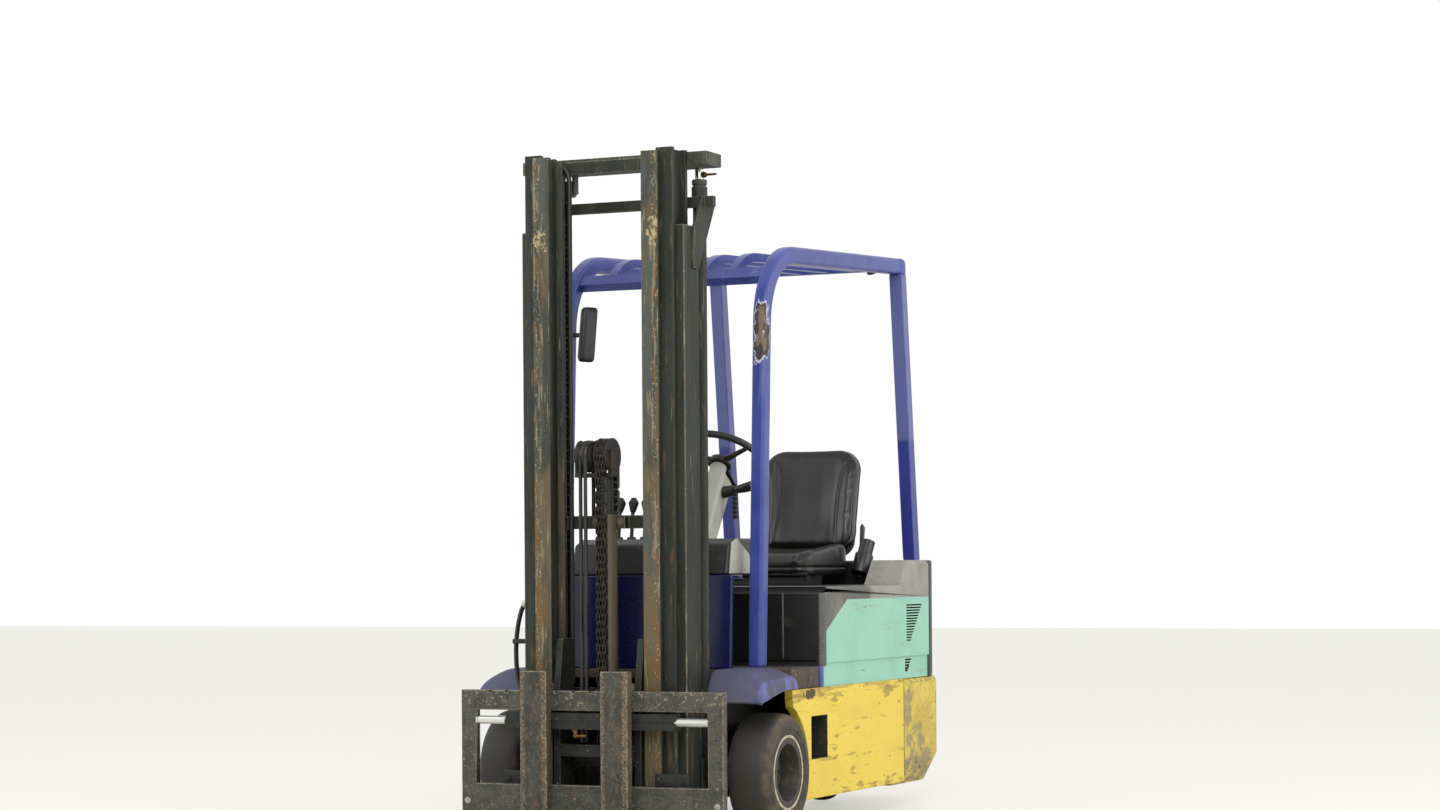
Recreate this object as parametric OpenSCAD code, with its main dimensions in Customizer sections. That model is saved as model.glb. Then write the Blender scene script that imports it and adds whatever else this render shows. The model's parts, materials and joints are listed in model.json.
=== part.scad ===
// Three-wheel electric counterbalance forklift with a three-stage mast.
// Millimetres, +Z up, forward is -Y, the driver's left is +X.
// Every piece is drawn from the front axle and then moved to the middle of the whole length.

/* [Truck] */
// Overall width over the front tyres
overall_w = 1080; // [1020:1:1200]
// Front axle to steer axle
wheelbase = 1310; // [1280:1:1360]
// Steer axle to the rear end
rear_overhang = 350; // [340:1:400]
// Width of the body over its side panels
body_w = 1020; // [980:1:1040]
// Rounding of the rear corners seen from above
corner_r = 200; // [120:1:240]
// Lower edge of the frame
frame_low = 90; // [70:1:110]
// Top edge of the yellow frame
frame_top = 468; // [455:1:480]

/* [Front wheels] */
// Outside diameter of the front tyres
tyre_d = 396; // [380:1:410]
// Width of the front tyres
tyre_w = 152; // [140:1:165]
// Outside diameter of the rim flanges
rim_d = 248; // [236:1:256]

/* [Steer wheels] */
// Outside diameter of the twin rear tyres
steer_d = 380; // [360:1:390]
// Width of one rear tyre
steer_w = 104; // [90:1:110]
// Free space between the twin tyres
steer_gap = 126; // [116:1:130]

/* [Mast] */
// Height of the lowered mast
mast_h = 2262; // [2200:1:2400]
// Front axle to the front face of the inner stage
mast_reach = 345; // [335:1:360]
// Depth of one rail section
rail_d = 118; // [114:1:124]
// Width of one rail flange
flange_w = 60; // [58:1:62]
// Thickness of the flanges
flange_t = 17; // [14:1:18]
// Thickness of the webs
web_t = 12; // [10:1:12]
// Half the free width between the inner rails
inner_x = 170; // [168:1:176]
// Sideways shift from one stage to the next
step_x = 42; // [42:1:46]
// Shift backwards from one stage to the next
step_y = 27; // [26:1:30]

/* [Carriage] */
// Width of the fork carriage
carriage_w = 960; // [900:1:1040]
// Lower edge of the fork carriage above the floor
carriage_low = 76; // [70:1:90]
// Height over both fork bars
carriage_h = 405; // [395:1:415]
// Width of one fork
fork_w = 99; // [80:1:110]
// Thickness of a fork at its heel
fork_t = 38; // [32:1:42]
// Length of the fork blades
fork_len = 1030; // [900:10:1200]
// Middle of the driver's left fork
fork_left_x = 106; // [80:1:300]
// Middle of the driver's right fork
fork_right_x = 190; // [80:1:300]

/* [Guard] */
// Top of the guard at its rear
guard_h = 2050; // [2040:1:2120]
// Half the width over the middles of the guard posts
guard_x = 372; // [366:1:380]
// Width of the guard tubes
tube_w = 50; // [44:1:52]
// Depth of the guard tubes
tube_d = 60; // [52:1:62]
// Bars in the guard roof
roof_bars = 5; // [3:1:7]

/* [Hidden] */
$fn = 48;
rear_y = wheelbase + rear_overhang;
axle_z = tyre_d / 2;
steer_z = steer_d / 2;
wheel_x = overall_w / 2 - tyre_w / 2;
side_x = body_w / 2;
panel_t = 28;
seam_y = wheelbase - 160;
recess_r = sqrt(pow(steer_gap / 2 + steer_w, 2) + pow(steer_d / 2, 2)) + 9;
hood_y = 380;
hood_end = rear_y - 40 - corner_r;
floor_top = 540;
floor_t = 34;
panel_top = 768;
hood_top = 815;
shoulder_top = 905;
rise_y = hood_end - 270;
louvre_y = hood_end - 235;
// mast stages, counted from the inner one
inner_y = -mast_reach;
middle_x = inner_x + step_x;
outer_x = middle_x + step_x;
middle_y = inner_y + step_y;
outer_y = middle_y + step_y;
outer_w = 46;
outer_top = mast_h - 252;
inner_bar_y = inner_y + rail_d;
inner_bar_t = 14;
middle_bar_y = middle_y + rail_d;
middle_bar_t = 16;
outer_bar_y = outer_y + rail_d + 23;
outer_bar_t = 22;
inner_top = mast_h - 12;
rail_low = 62;
roller_r = (rail_d - step_y) / 2 - flange_t - 5;
// lift cylinders behind the outer rails
lift_x = 272;
lift_r = 22.5;
rod_r = 15;
lift_y = outer_bar_y + outer_bar_t + lift_r + 0.5;
tie_z = mast_h - 182;
tie_h = 35;
cross_z = mast_h - 47;
cross_h = 43;
head_x = outer_x + outer_w + 42;
chain_x = 200;
chain_w = 28;
chain_t = 16;
chain_y = middle_bar_y + middle_bar_t + 12;
pulley_r = 36;
pulley_y = chain_y + pulley_r;
pulley_z = tie_z + tie_h + pulley_r + 16;
// free lift in the middle of the inner stage
free_r = 32;
free_y = inner_bar_y - 3 - free_r;
free_top = 1062;
mid_bar_z = 1015;
mid_bar_h = 44;
sheave_r = 48;
sheave_z = 1256;
head_top = 1327;
// mast pivot and tilt cylinders
pivot_y = outer_y + rail_d + 58;
pivot_z = axle_z;
pivot_r = 25;
arm_x = outer_x + outer_w + 12;
arm_t = 24;
tilt_x = 190;
eye_y = outer_bar_y + outer_bar_t + 34;
eye_z = 430;
base_y = 300;
base_z = 380;
tilt_len = sqrt(pow(base_y - eye_y, 2) + pow(base_z - eye_z, 2));
tilt_a = atan2(eye_z - base_z, base_y - eye_y);
// fork carriage
shift_y = inner_y - 61;
shift_t = 32;
bar_h = 66;
low_bar_h = 94;
carriage_top = carriage_low + carriage_h;
post_w = 55;
plate_y = shift_y + shift_t + 5;
plate_t = 17;
side_plate_x = inner_x - 32;
side_plate_t = 22;
fork_back = shift_y - 0.4;
fork_face = fork_back - fork_t;
fork_low = 6;
fork_top = carriage_top + bar_h;
fork_tip = fork_face - fork_len;
shift_rod_z = carriage_top - bar_h - 34;
shift_rod_y = shift_y + shift_t / 2;
shift_rod_r = 14;
// guard
post_a = 2.8;
roof_a = 2.9;
bend_r = 260;
guard_foot_y = 123;
guard_foot_z = floor_top;
guard_rear_y = rear_y - 190;
roof_rear_z = guard_h - tube_d / 2;
// the bend's middle follows from the roof slope and from the foot
roof_drop = tan(roof_a);
bend_y = (guard_foot_y + tan(post_a) * (roof_rear_z - (guard_rear_y - guard_foot_y - bend_r) * roof_drop
    - bend_r - guard_foot_z) + bend_r * cos(post_a)) + bend_r * sin(post_a) * tan(post_a);
roof_front_z = roof_rear_z - (guard_rear_y - bend_y) * roof_drop;
bend_z = roof_front_z - bend_r / cos(roof_a);
// driver's place
wheel_a = 35;
hub_y = 650;
hub_z = 1262;
hand_r = 182;
column_len = 400;
seat_w = 460;
seat_y = hood_end - 20;
frame_y = (rear_y + fork_tip) / 2;

module place() {
  translate([0, -frame_y, 0]) children();
}

module both() {
  children();
  mirror([1, 0, 0]) children();
}

// box from its low corner to its high corner
module box(a, b) {
  translate(a) cube([b[0] - a[0], b[1] - a[1], b[2] - a[2]]);
}

// round bar along X
module bar_x(x0, x1, y, z, r) {
  translate([x0, y, z]) rotate([0, 90, 0]) cylinder(r = r, h = x1 - x0);
}

// flat shape drawn over Y and Z, thick along X
module side_plate(x0, x1) {
  translate([x0, 0, 0]) rotate([90, 0, 90]) linear_extrude(x1 - x0) children();
}

module rounded(w, h, r) {
  square([w - 2 * r, h], center = true);
  square([w, h - 2 * r], center = true);
  for (x = [-1, 1], y = [-1, 1]) {
    translate([x * (w / 2 - r), y * (h / 2 - r)]) circle(r);
  }
}

// turned shape about X, its profile drawn as radius and distance
module turned_x() {
  rotate([0, 90, 0]) rotate_extrude() children();
}

module tyre_profile(r, w, bore, flange) {
  h = w / 2;
  s = min(22, h / 3);
  difference() {
    polygon([[bore, -h + 13], [flange, -h + 13], [flange + 9, -h + 2], [r - 44, -h], [r - s, -h + 3],
      [r - 5, -h + s * 0.75], [r, -h + s * 1.5], [r, h - s * 1.5], [r - 5, h - s * 0.75], [r - s, h - 3],
      [r - 44, h], [flange + 9, h - 2], [flange, h - 13], [bore, h - 13]]);
  }
}

module rim_profile(w, bore, flange, hub) {
  h = w / 2 - 13;
  polygon([[hub, -34], [hub + 26, -34], [hub + 26, -20], [bore - 9, -20], [bore - 9, -h - 7], [flange, -h - 7],
    [flange, -h], [bore, -h], [bore, h], [flange, h], [flange, h + 7], [bore - 9, h + 7], [bore - 9, -6],
    [hub + 34, -6], [hub + 26, 14], [hub, 14]]);
}

rim_bore = rim_d / 2 - 19;
hub_r = 41;

module front_left_tyre() {
  color("#2f2e29") translate([wheel_x, 0, axle_z]) turned_x() tyre_profile(tyre_d / 2, tyre_w, rim_bore, rim_d / 2);
}

module front_right_tyre() {
  mirror([1, 0, 0]) front_left_tyre();
}

module front_left_rim() {
  color("#44423a") translate([wheel_x, 0, axle_z]) turned_x() rim_profile(tyre_w, rim_bore, rim_d / 2, hub_r);
}

module front_right_rim() {
  mirror([1, 0, 0]) front_left_rim();
}

module front_axle() {
  color("#3b3c38") difference() {
    union() {
      both() bar_x(0, arm_x, 0, axle_z, 62);
      both() bar_x(arm_x + arm_t, wheel_x - 60, 0, axle_z, 78);
      both() bar_x(wheel_x - 60, wheel_x + 18, 0, axle_z, hub_r - 0.3);
      box([-110, -30, axle_z - 92], [110, 150, axle_z + 105]);
    }
  }
}

// yellow welded frame with its side plates, arms, tray and cross shaft
module arch() {
  bar_x(arm_x + arm_t + 2, overall_w, 0, axle_z, tyre_d / 2 + 38);
}

module step_recess() {
  box([side_x - 72, 262, 225], [side_x + 1, 408, 372]);
}

module main_frame() {
  color("#d9c447") difference() {
    union() {
      both() side_plate(side_x - 30, side_x) polygon([[150, frame_low], [seam_y, frame_low], [seam_y, frame_top],
        [95, frame_top]]);
      both() box([side_x - 92, 240, 205], [side_x - 30, hood_y + 44, 392]);
      both() side_plate(arm_x, arm_x + arm_t) polygon([[pivot_y - 42, 120], [395, 100], [395, floor_top - floor_t],
        [0, floor_top - floor_t], [pivot_y - 42, 300]]);
      box([-arm_x, 240, frame_low + 10], [arm_x, 395, frame_low + 24]);
      box([-side_x + 30, 395, frame_low], [side_x - 30, wheelbase - recess_r - 12, frame_low + 24]);
      box([-side_x + 30, 395, frame_low + 24], [side_x - 30, 419, 560]);
      both() box([recess_r, wheelbase - recess_r - 12, frame_low], [side_x - 30, seam_y, frame_top - 40]);
      both() box([arm_x + arm_t, 262, frame_low + 10], [side_x - 30, 395, frame_low + 34]);
      bar_x(-arm_x, arm_x, base_y, base_z, 15);
      both() bar_x(outer_x + 5, arm_x, pivot_y, pivot_z, pivot_r);
    }
    both() arch();
    both() step_recess();
    both() bar_x(arm_x - 1, arm_x + arm_t + 1, 0, axle_z, 62);
  }
}

module battery() {
  color("#3a3c40") box([-side_x + 52, 425, frame_low + 24], [side_x - 52, wheelbase - recess_r - 14, panel_top - 30]);
}

// cast rear weight: straight flanks, round corners and a lower chamfer, hollowed for the steer wheels
module weight_profile(r, z0, z1) {
  polygon([[0, z0], [r - 52, z0], [r, z0 + 105], [r, z1 - 12], [r - 12, z1], [0, z1]]);
}

module rounded_rear(y0, y1, z0, z1) {
  cx = side_x - corner_r;
  cy = y1 - corner_r;
  both() translate([cx, cy, 0]) rotate_extrude(angle = 90) weight_profile(corner_r, z0, z1);
  both() translate([cx, cy, 0]) rotate([90, 0, 0]) linear_extrude(cy - y0) weight_profile(corner_r, z0, z1);
  translate([-cx, cy, 0]) rotate([90, 0, 90]) linear_extrude(2 * cx) weight_profile(corner_r, z0, z1);
  box([-cx, y0, z0], [cx, cy, z1]);
}

module counterweight() {
  color("#d9c447") difference() {
    rounded_rear(seam_y, rear_y, 72, frame_top);
    translate([0, wheelbase, 0]) cylinder(r = recess_r, h = 425);
    translate([0, wheelbase, 0]) cylinder(r = 35.1, h = 462);
    box([-60, rear_y - 86, 300], [60, rear_y + 1, frame_top + 1]);
  }
}

module tow_clevis() {
  color("#4a4b46") difference() {
    union() {
      box([-60, rear_y - 86, 300], [60, rear_y - 66, 430]);
      box([-60, rear_y - 66, 300], [60, rear_y - 4, 322]);
      box([-60, rear_y - 66, 408], [60, rear_y - 4, 430]);
    }
    translate([0, rear_y - 24, 290]) cylinder(r = 12, h = 150);
  }
}

// hood shell: front face, flanks round the side panels, deck and raised rear
module hood() {
  color("#2c2d2b") {
    both() side_plate(side_x - panel_t, side_x) polygon([[hood_y, frame_top + 72], [hood_y, hood_top - 24],
      [hood_y + 26, hood_top], [rise_y, hood_top], [rise_y + 80, shoulder_top], [hood_end, shoulder_top],
      [hood_end, panel_top], [hood_y + 220, panel_top], [hood_y + 22, 661], [hood_y + 22, frame_top + 72]]);
    both() side_plate(seat_w / 2 + 32, side_x - panel_t) polygon([[rise_y, hood_top],
      [rise_y + 80, shoulder_top], [hood_end, shoulder_top], [hood_end, hood_top]]);
    side_plate(-side_x + panel_t, side_x - panel_t) polygon([[hood_y, 561], [hood_y, hood_top - 24],
      [hood_y + 26, hood_top], [hood_end, hood_top], [hood_end, hood_top - 30], [hood_y + 24, hood_top - 30],
      [hood_y + 24, 561]]);
  }
}

module rear_cover() {
  cx = side_x - corner_r;
  color("#2c2d2b") difference() {
    union() {
      both() translate([cx, hood_end, frame_top]) cylinder(r = corner_r, h = shoulder_top - frame_top);
      box([-cx, hood_end, frame_top], [cx, hood_end + corner_r, shoulder_top]);
    }
    box([-overall_w, 0, 0], [overall_w, hood_end, 3000]);
  }
}

// side panel with rows of louvres that get shorter downwards
module side_panels() {
  color("#86cdb4") both() difference() {
    union() {
      side_plate(side_x - panel_t, side_x) polygon([[hood_y + 22, 550], [hood_end, 550], [hood_end, panel_top],
        [hood_y + 220, panel_top], [hood_y + 22, 661]]);
      side_plate(side_x - panel_t, side_x - 7) polygon([[hood_y, frame_top], [hood_end, frame_top], [hood_end, 550],
        [hood_y, 550]]);
    }
    box([side_x - panel_t - 1, hood_y - 1, frame_top + 72], [side_x, hood_y + 22, 551]);
    for (i = [0:13]) {
      box([side_x - panel_t - 1, louvre_y, 736 - i * 10], [side_x + 1, louvre_y + 160 - i * 9, 741 - i * 10]);
    }
    for (i = [0:4]) {
      box([side_x - panel_t - 1, louvre_y, 534 - i * 10], [side_x + 1, louvre_y + 60 - i * 9, 539 - i * 10]);
    }
  }
}

module floor_plate() {
  color("#54524a") difference() {
    union() {
      box([-side_x + 12, 96, floor_top - floor_t], [side_x - 12, hood_y, floor_top]);
      box([-arm_x - arm_t, 20, floor_top - floor_t], [arm_x + arm_t, 96, floor_top]);
    }
  }
}

// front fenders over the wheels
module fenders() {
  color("#5d5f86") both() {
    difference() {
      side_plate(arm_x + arm_t, overall_w / 2 - 2) polygon([[-222, 441], [-196, 520], [-160, 545], [90, 545],
        [90, 441]]);
      difference() {
        side_plate(arm_x + arm_t - 1, overall_w / 2 - 14) polygon([[-230, 430], [-208, 445], [-186, 512], [-155, 534], [80, 534],
          [80, 430]]);
      }
      bar_x(arm_x, overall_w, 0, axle_z, tyre_d / 2 + 44);
    }
  }
}

// blue cowl and dark dash
module cowl() {
  color("#1b1f63") side_plate(-318, 318) polygon([[20, floor_top], [34, 859], [130, 859], [130, 838], [56, 838], [44, floor_top]]);
}

module dash() {
  color("#2f312e") difference() {
    side_plate(-290, 300) polygon([[34, 859], [60, 962], [110, 982], [300, 982], [330, 940], [250, 859]]);
    translate([-290, 0, 859]) rotate([0, -25, 0]) box([-200, 0, -20], [0, 400, 300]);
  }
}

module column() {
  color("#9c9c94") {
    translate([0, hub_y, hub_z]) rotate([-wheel_a, 0, 0]) {
      translate([0, 0, -column_len]) linear_extrude(column_len - 74) rounded(108, 92, 18);
      translate([0, 0, -75]) cylinder(r = 30, h = 58);
    }
    side_plate(-70, 70) polygon([[250, floor_top], [360, floor_top], [360, 850], [446, 950], [398, 1010], [331, 982],
      [331, 940], [250, 859]]);
  }
}

module steering_wheel() {
  color("#1f201d") translate([0, hub_y, hub_z]) rotate([-wheel_a, 0, 0]) {
    rotate_extrude() translate([hand_r - 13, 0]) circle(13);
    translate([0, 0, -16]) cylinder(r = 42, h = 26);
    for (a = [0, 120, 240]) {
      rotate([0, 0, a + 90]) translate([30, -16, -9]) cube([hand_r - 46, 32, 13]);
    }
  }
}

module controls() {
  color("#24251f") for (x = [-218, -168, -118]) {
    translate([x, 262, 982]) cylinder(r = 16, h = 9);
    translate([x, 262, 986]) rotate([-8, 0, 0]) {
      cylinder(r = 7, h = 94);
      translate([0, 0, 92]) rotate_extrude() polygon([[0, 0], [9, 0], [19, 26], [16, 42], [8, 50], [0, 50]]);
    }
  }
  color("#2a2b28") {
    box([-150, 150, floor_top], [-70, 170, floor_top + 60]);
    box([60, 150, floor_top], [140, 170, floor_top + 70]);
  }
}

module seat_base() {
  color("#2a2b29") {
    box([-seat_w / 2 + 40, seat_y - 390, hood_top], [seat_w / 2 - 40, seat_y - 250, 850]);
    box([-seat_w / 2 + 40, seat_y - 410, 850], [seat_w / 2 - 40, seat_y, 862]);
  }
}

module seat_cushion() {
  color("#23241f") intersection() {
    translate([0, seat_y, 0]) side_plate(-seat_w / 2, seat_w / 2) polygon([[-440, 880], [-415, 862], [0, 862], [0, 930],
      [-70, 935], [-280, 945], [-390, 950], [-430, 930]]);
    translate([0, seat_y - 220, 800]) linear_extrude(200) rounded(seat_w, 440, 60);
  }
}

module seat_back() {
  color("#23241f") intersection() {
    translate([0, seat_y, 0]) side_plate(-seat_w / 2, seat_w / 2) polygon([[0, 905], [50, 905], [140, 1290], [128, 1326],
      [90, 1326], [66, 1290]]);
    translate([0, seat_y + 200, 1116]) rotate([90, 0, 0]) linear_extrude(400) rounded(seat_w, 420, 80);
  }
}

// overhead guard: bent side tubes, rear posts, roof grille
roof_len = (guard_rear_y - bend_y) / cos(roof_a);

// points seen from the side, with the bend's middle at zero
function turned(a, p) = [p[0] * cos(a) - p[1] * sin(a), p[0] * sin(a) + p[1] * cos(a)];
function arc(r, a0, a1, n) = [for (i = [0:n]) [r * cos(a0 + (a1 - a0) * i / n), r * sin(a0 + (a1 - a0) * i / n)]];
function foot(r) = [-r * cos(post_a) - tan(post_a) * (bend_z - guard_foot_z + r * sin(post_a)), guard_foot_z - bend_z];

module at_bend(x0, x1) {
  translate([0, bend_y, bend_z]) side_plate(x0, x1) children();
}

module guard_tubes() {
  ro = bend_r + tube_d / 2;
  ri = bend_r - tube_d / 2;
  color("#3d4596") both() at_bend(guard_x - tube_w / 2, guard_x + tube_w / 2) polygon(concat(
    [turned(roof_a, [roof_len, ro])], arc(ro, 90 + roof_a, 180 - post_a, 18), [foot(ro)],
    [foot(ri)], arc(ri, 180 - post_a, 90 + roof_a, 18), [turned(roof_a, [roof_len, ri])]));
}

rear_post_a = 6.7;

module guard_rear_posts() {
  color("#3d4596") both() intersection() {
    translate([guard_x + 2, guard_rear_y, roof_rear_z]) rotate([rear_post_a, 0, 0])
      translate([-tube_w / 2, -tube_d / 2 + 2, -1400]) cube([tube_w, tube_d - 4, 1500]);
    difference() {
      box([0, wheelbase - 10, shoulder_top], [overall_w, rear_y, guard_h + 100]);
      translate([guard_x, bend_y, bend_z]) rotate([roof_a, 0, 0])
        translate([-200, -500, bend_r - tube_d / 2]) cube([400, 3000, 400]);
    }
  }
}

module roof_grille() {
  inner = guard_x - tube_w / 2;
  pitch = 2 * inner / (roof_bars + 1);
  color("#3d4596") {
    for (i = [1:roof_bars]) {
      at_bend(-inner + i * pitch - 15, -inner + i * pitch + 15) polygon(concat(
        [turned(roof_a, [roof_len - 20, bend_r + 15])], arc(bend_r + 15, 90 + roof_a, 134 + roof_a, 9),
        arc(bend_r - 15, 134 + roof_a, 90 + roof_a, 9), [turned(roof_a, [roof_len - 20, bend_r - 15])]));
    }
    translate([0, bend_y, bend_z]) rotate([44 + roof_a, 0, 0]) box([-inner, -24, bend_r - 17], [inner, 24, bend_r + 17]);
    translate([0, bend_y, bend_z]) rotate([roof_a, 0, 0])
      box([-inner, roof_len - 50, bend_r - 17], [inner, roof_len - 4, bend_r + 17]);
  }
}

module mirror_head() {
  color("#1c1d1b") {
    translate([-298, 196, 1700]) rotate([0, 0, 25]) rotate([90, 0, 0]) linear_extrude(34) rounded(74, 190, 30);
    bar_x(-guard_x + tube_w / 2, -300, 180, 1700, 8);
  }
}

// mast rails
module i_section(x0, y0) {
  translate([x0, y0]) square([flange_w, flange_t]);
  translate([x0, y0 + rail_d - flange_t]) square([flange_w, flange_t]);
  translate([x0 + (flange_w - web_t) / 2, y0]) square([web_t, rail_d]);
}

module outer_rails() {
  color("#4a4d47") both() difference() {
    translate([0, 0, rail_low]) linear_extrude(outer_top - rail_low) {
      translate([outer_x, outer_y]) square([outer_w, flange_t]);
      translate([outer_x, outer_y + rail_d - flange_t]) square([outer_w, flange_t]);
      translate([outer_x + outer_w - web_t, outer_y]) square([web_t, rail_d]);
    }
  }
}

module outer_ties() {
  y0 = outer_y + rail_d;
  x1 = outer_x + outer_w;
  color("#43463f") {
    difference() {
      union() {
        box([-head_x, outer_bar_y, tie_z], [head_x, outer_bar_y + outer_bar_t, tie_z + tie_h]);
        both() side_plate(x1, x1 + 10) polygon([[y0 - 60, outer_top - 140], [y0 - 60, outer_top - 10], [y0 + 10, tie_z + tie_h], [y0 + 110, tie_z + tie_h], [y0 + 110, tie_z + tie_h - 24], [y0 - 20, outer_top - 140]]);
      }
    }
    box([-x1, outer_bar_y, eye_z - 50], [x1, outer_bar_y + outer_bar_t, eye_z + 50]);
    both() box([x1 - 30, y0, eye_z - 50], [x1, outer_bar_y, eye_z + 50]);
    both() box([tilt_x - 34, outer_bar_y + outer_bar_t, eye_z - 32], [tilt_x - 20, eye_y + 24, eye_z + 32]);
    both() box([tilt_x + 20, outer_bar_y + outer_bar_t, eye_z - 32], [tilt_x + 34, eye_y + 24, eye_z + 32]);
    both() bar_x(tilt_x - 20, tilt_x + 20, eye_y, eye_z, 11);
    both() difference() {
      box([outer_x + 4, y0, pivot_z - 58], [x1, pivot_y + 44, pivot_z + 52]);
      bar_x(outer_x, x1 + 1, pivot_y, pivot_z, pivot_r + 0.1);
    }
    box([-outer_x - 4, outer_bar_y, pivot_z - 58], [outer_x + 4, outer_bar_y + outer_bar_t, pivot_z + 20]);
  }
}

module lift_barrels() {
  color("#5b5d58") both() translate([lift_x, lift_y, 0]) difference() {
    union() {
      translate([0, 0, pivot_z + 52]) cylinder(r = lift_r, h = mast_h - 98 - pivot_z - 52);
      translate([0, 0, tie_z + tie_h + 1]) cylinder(r = lift_r + 4, h = 36);
    }
    translate([0, 0, pivot_z + 100]) cylinder(r = rod_r + 0.3, h = mast_h);
  }
}

module middle_rails() {
  web = middle_x + (flange_w + web_t) / 2;
  color("#4d504a") both() {
    translate([0, 0, rail_low + 6]) linear_extrude(mast_h - rail_low - 6) i_section(middle_x, middle_y);
    for (z = [130, 420]) {
      bar_x(web, outer_x + outer_w - web_t - 0.3, (outer_y + middle_y + rail_d) / 2, z, roller_r);
    }
  }
}

module middle_ties() {
  x1 = middle_x + (flange_w + web_t) / 2;
  color("#43463f") {
    box([-head_x, middle_bar_y, cross_z], [head_x, lift_y + 22, cross_z + cross_h]);
    both() bar_x(chain_x - 18, chain_x + 18, pulley_y, pulley_z, pulley_r - chain_t / 2);
    both() bar_x(chain_x - 24, chain_x + 24, pulley_y, pulley_z, 10);
    box([-x1, middle_bar_y, rail_low + 8], [x1, middle_bar_y + middle_bar_t, rail_low + 88]);
    both() for (s = [-1, 1]) {
      box([chain_x + s * 24 - 4, pulley_y - 16, pulley_z - 16], [chain_x + s * 24 + 4, pulley_y + 16, cross_z]);
    }
  }
}

module lift_rods() {
  color("#b9bbb8") both() translate([lift_x, lift_y, pivot_z + 110]) cylinder(r = rod_r, h = cross_z - pivot_z - 110);
}

module lift_chains() {
  color("#55524a") both() box([chain_x - chain_w / 2, chain_y - chain_t / 2, 190], [chain_x + chain_w / 2, chain_y + chain_t / 2, pulley_z]);
}

module inner_rails() {
  web = inner_x + (flange_w + web_t) / 2;
  color("#50534c") both() {
    translate([0, 0, rail_low + 10]) linear_extrude(inner_top - rail_low - 10) i_section(inner_x, inner_y);
    for (z = [130, 420]) {
      bar_x(web, middle_x + (flange_w - web_t) / 2 - 0.3, (middle_y + inner_y + rail_d) / 2, z, roller_r);
    }
  }
}

module inner_ties() {
  x1 = inner_x + (flange_w + web_t) / 2;
  color("#43463f") difference() {
    union() {
      box([-x1, inner_bar_y, inner_top - 48], [x1, inner_bar_y + inner_bar_t, inner_top - 4]);
      box([-x1, inner_bar_y, mid_bar_z], [x1, inner_bar_y + inner_bar_t, mid_bar_z + mid_bar_h]);
      box([-x1, inner_bar_y, rail_low + 12], [x1, inner_bar_y + inner_bar_t, rail_low + 92]);
      box([-60, free_y + 6, mid_bar_z], [60, inner_bar_y, mid_bar_z + mid_bar_h]);
      box([-60, free_y - 34, rail_low + 12], [60, inner_bar_y, rail_low + 32]);
    }
    translate([0, free_y, rail_low + 32]) cylinder(r = free_r, h = 1200);
  }
}

module free_barrel() {
  color("#565852") translate([0, free_y, 0]) difference() {
    union() {
      translate([0, 0, rail_low + 32]) cylinder(r = free_r, h = free_top - rail_low - 32);
    }
    translate([0, 0, rail_low + 60]) cylinder(r = 20.3, h = 1400);
  }
}

// head on the free lift rod: fork plates, chain sheave, hose wheel
module free_head() {
  color("#4b4c46") translate([0, free_y, 0]) {
    translate([0, 0, rail_low + 90]) cylinder(r = 20, h = 1186 - rail_low - 90);
    box([-110, -24, 1186], [34, 24, 1200]);
    for (x = [-110, -34, 24]) {
      box([x, -22, 1200], [x + 10, 22, sheave_z + 24]);
    }
    translate([0, 0, sheave_z]) {
      bar_x(-110, 34, 0, 0, 10);
      turned_x() polygon([[0, -22], [sheave_r + 12, -22], [sheave_r + 12, -19], [sheave_r - 8, -19], [sheave_r - 8, 19],
        [sheave_r + 12, 19], [sheave_r + 12, 22], [0, 22]]);
      translate([-67, 0, 0]) turned_x() polygon([[0, -30], [sheave_r + 6, -30], [sheave_r - 8, -18], [sheave_r - 8, -12],
        [sheave_r + 6, -2], [sheave_r + 6, 2], [sheave_r - 8, 12], [sheave_r - 8, 18], [sheave_r + 6, 30], [0, 30]]);
    }
  }
}

module free_chain() {
  color("#55524a") {
    box([-18, free_y - sheave_r - 8, 300], [18, free_y - sheave_r + 8, sheave_z]);
    box([-18, free_y + sheave_r - 8, mid_bar_z + mid_bar_h + 2], [18, free_y + sheave_r + 8, sheave_z]);
    difference() {
      bar_x(-18, 18, free_y, sheave_z, sheave_r + 8);
      bar_x(-19, 19, free_y, sheave_z, sheave_r - 8);
      box([-20, free_y - 100, sheave_z - 100], [20, free_y + 100, sheave_z]);
    }
  }
}

module mast_hose() {
  color("#1d1e1b") translate([-150, inner_bar_y - 9, 0]) {
    translate([0, 0, 500]) cylinder(r = 9, h = inner_top - 520);
  }
}

// roller carriage that runs in the inner stage
module carriage_frame() {
  color("#3f423c") {
    both() side_plate(side_plate_x, side_plate_x + side_plate_t) polygon([[plate_y + plate_t, carriage_low + 20],
      [inner_y + 100, carriage_low + 20], [inner_y + 100, 650], [inner_y + 20, 650], [plate_y + plate_t, carriage_top - 6]]);
    box([-300, plate_y, carriage_top - 60], [300, plate_y + plate_t, carriage_top - 6]);
    box([-300, plate_y, carriage_low + 10], [300, plate_y + plate_t, carriage_low + 80]);
    box([-side_plate_x, plate_y + plate_t, 262], [side_plate_x, free_y - sheave_r + 10, 300]);
    box([-300, plate_y, shift_rod_z - 27], [300, plate_y + plate_t, shift_rod_z + 27]);
    both() for (z = [160, 600]) {
      bar_x(side_plate_x + side_plate_t, inner_x + (flange_w - web_t) / 2 - 4, inner_y + rail_d / 2, z,
        rail_d / 2 - flange_t - 3);
    }
    both() box([150, shift_y + shift_t + 0.3, carriage_top - 52], [290, plate_y, carriage_top - 14]);
    both() box([150, shift_y + shift_t + 0.3, carriage_low + 18], [290, plate_y, carriage_low + 70]);
  }
}

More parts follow.
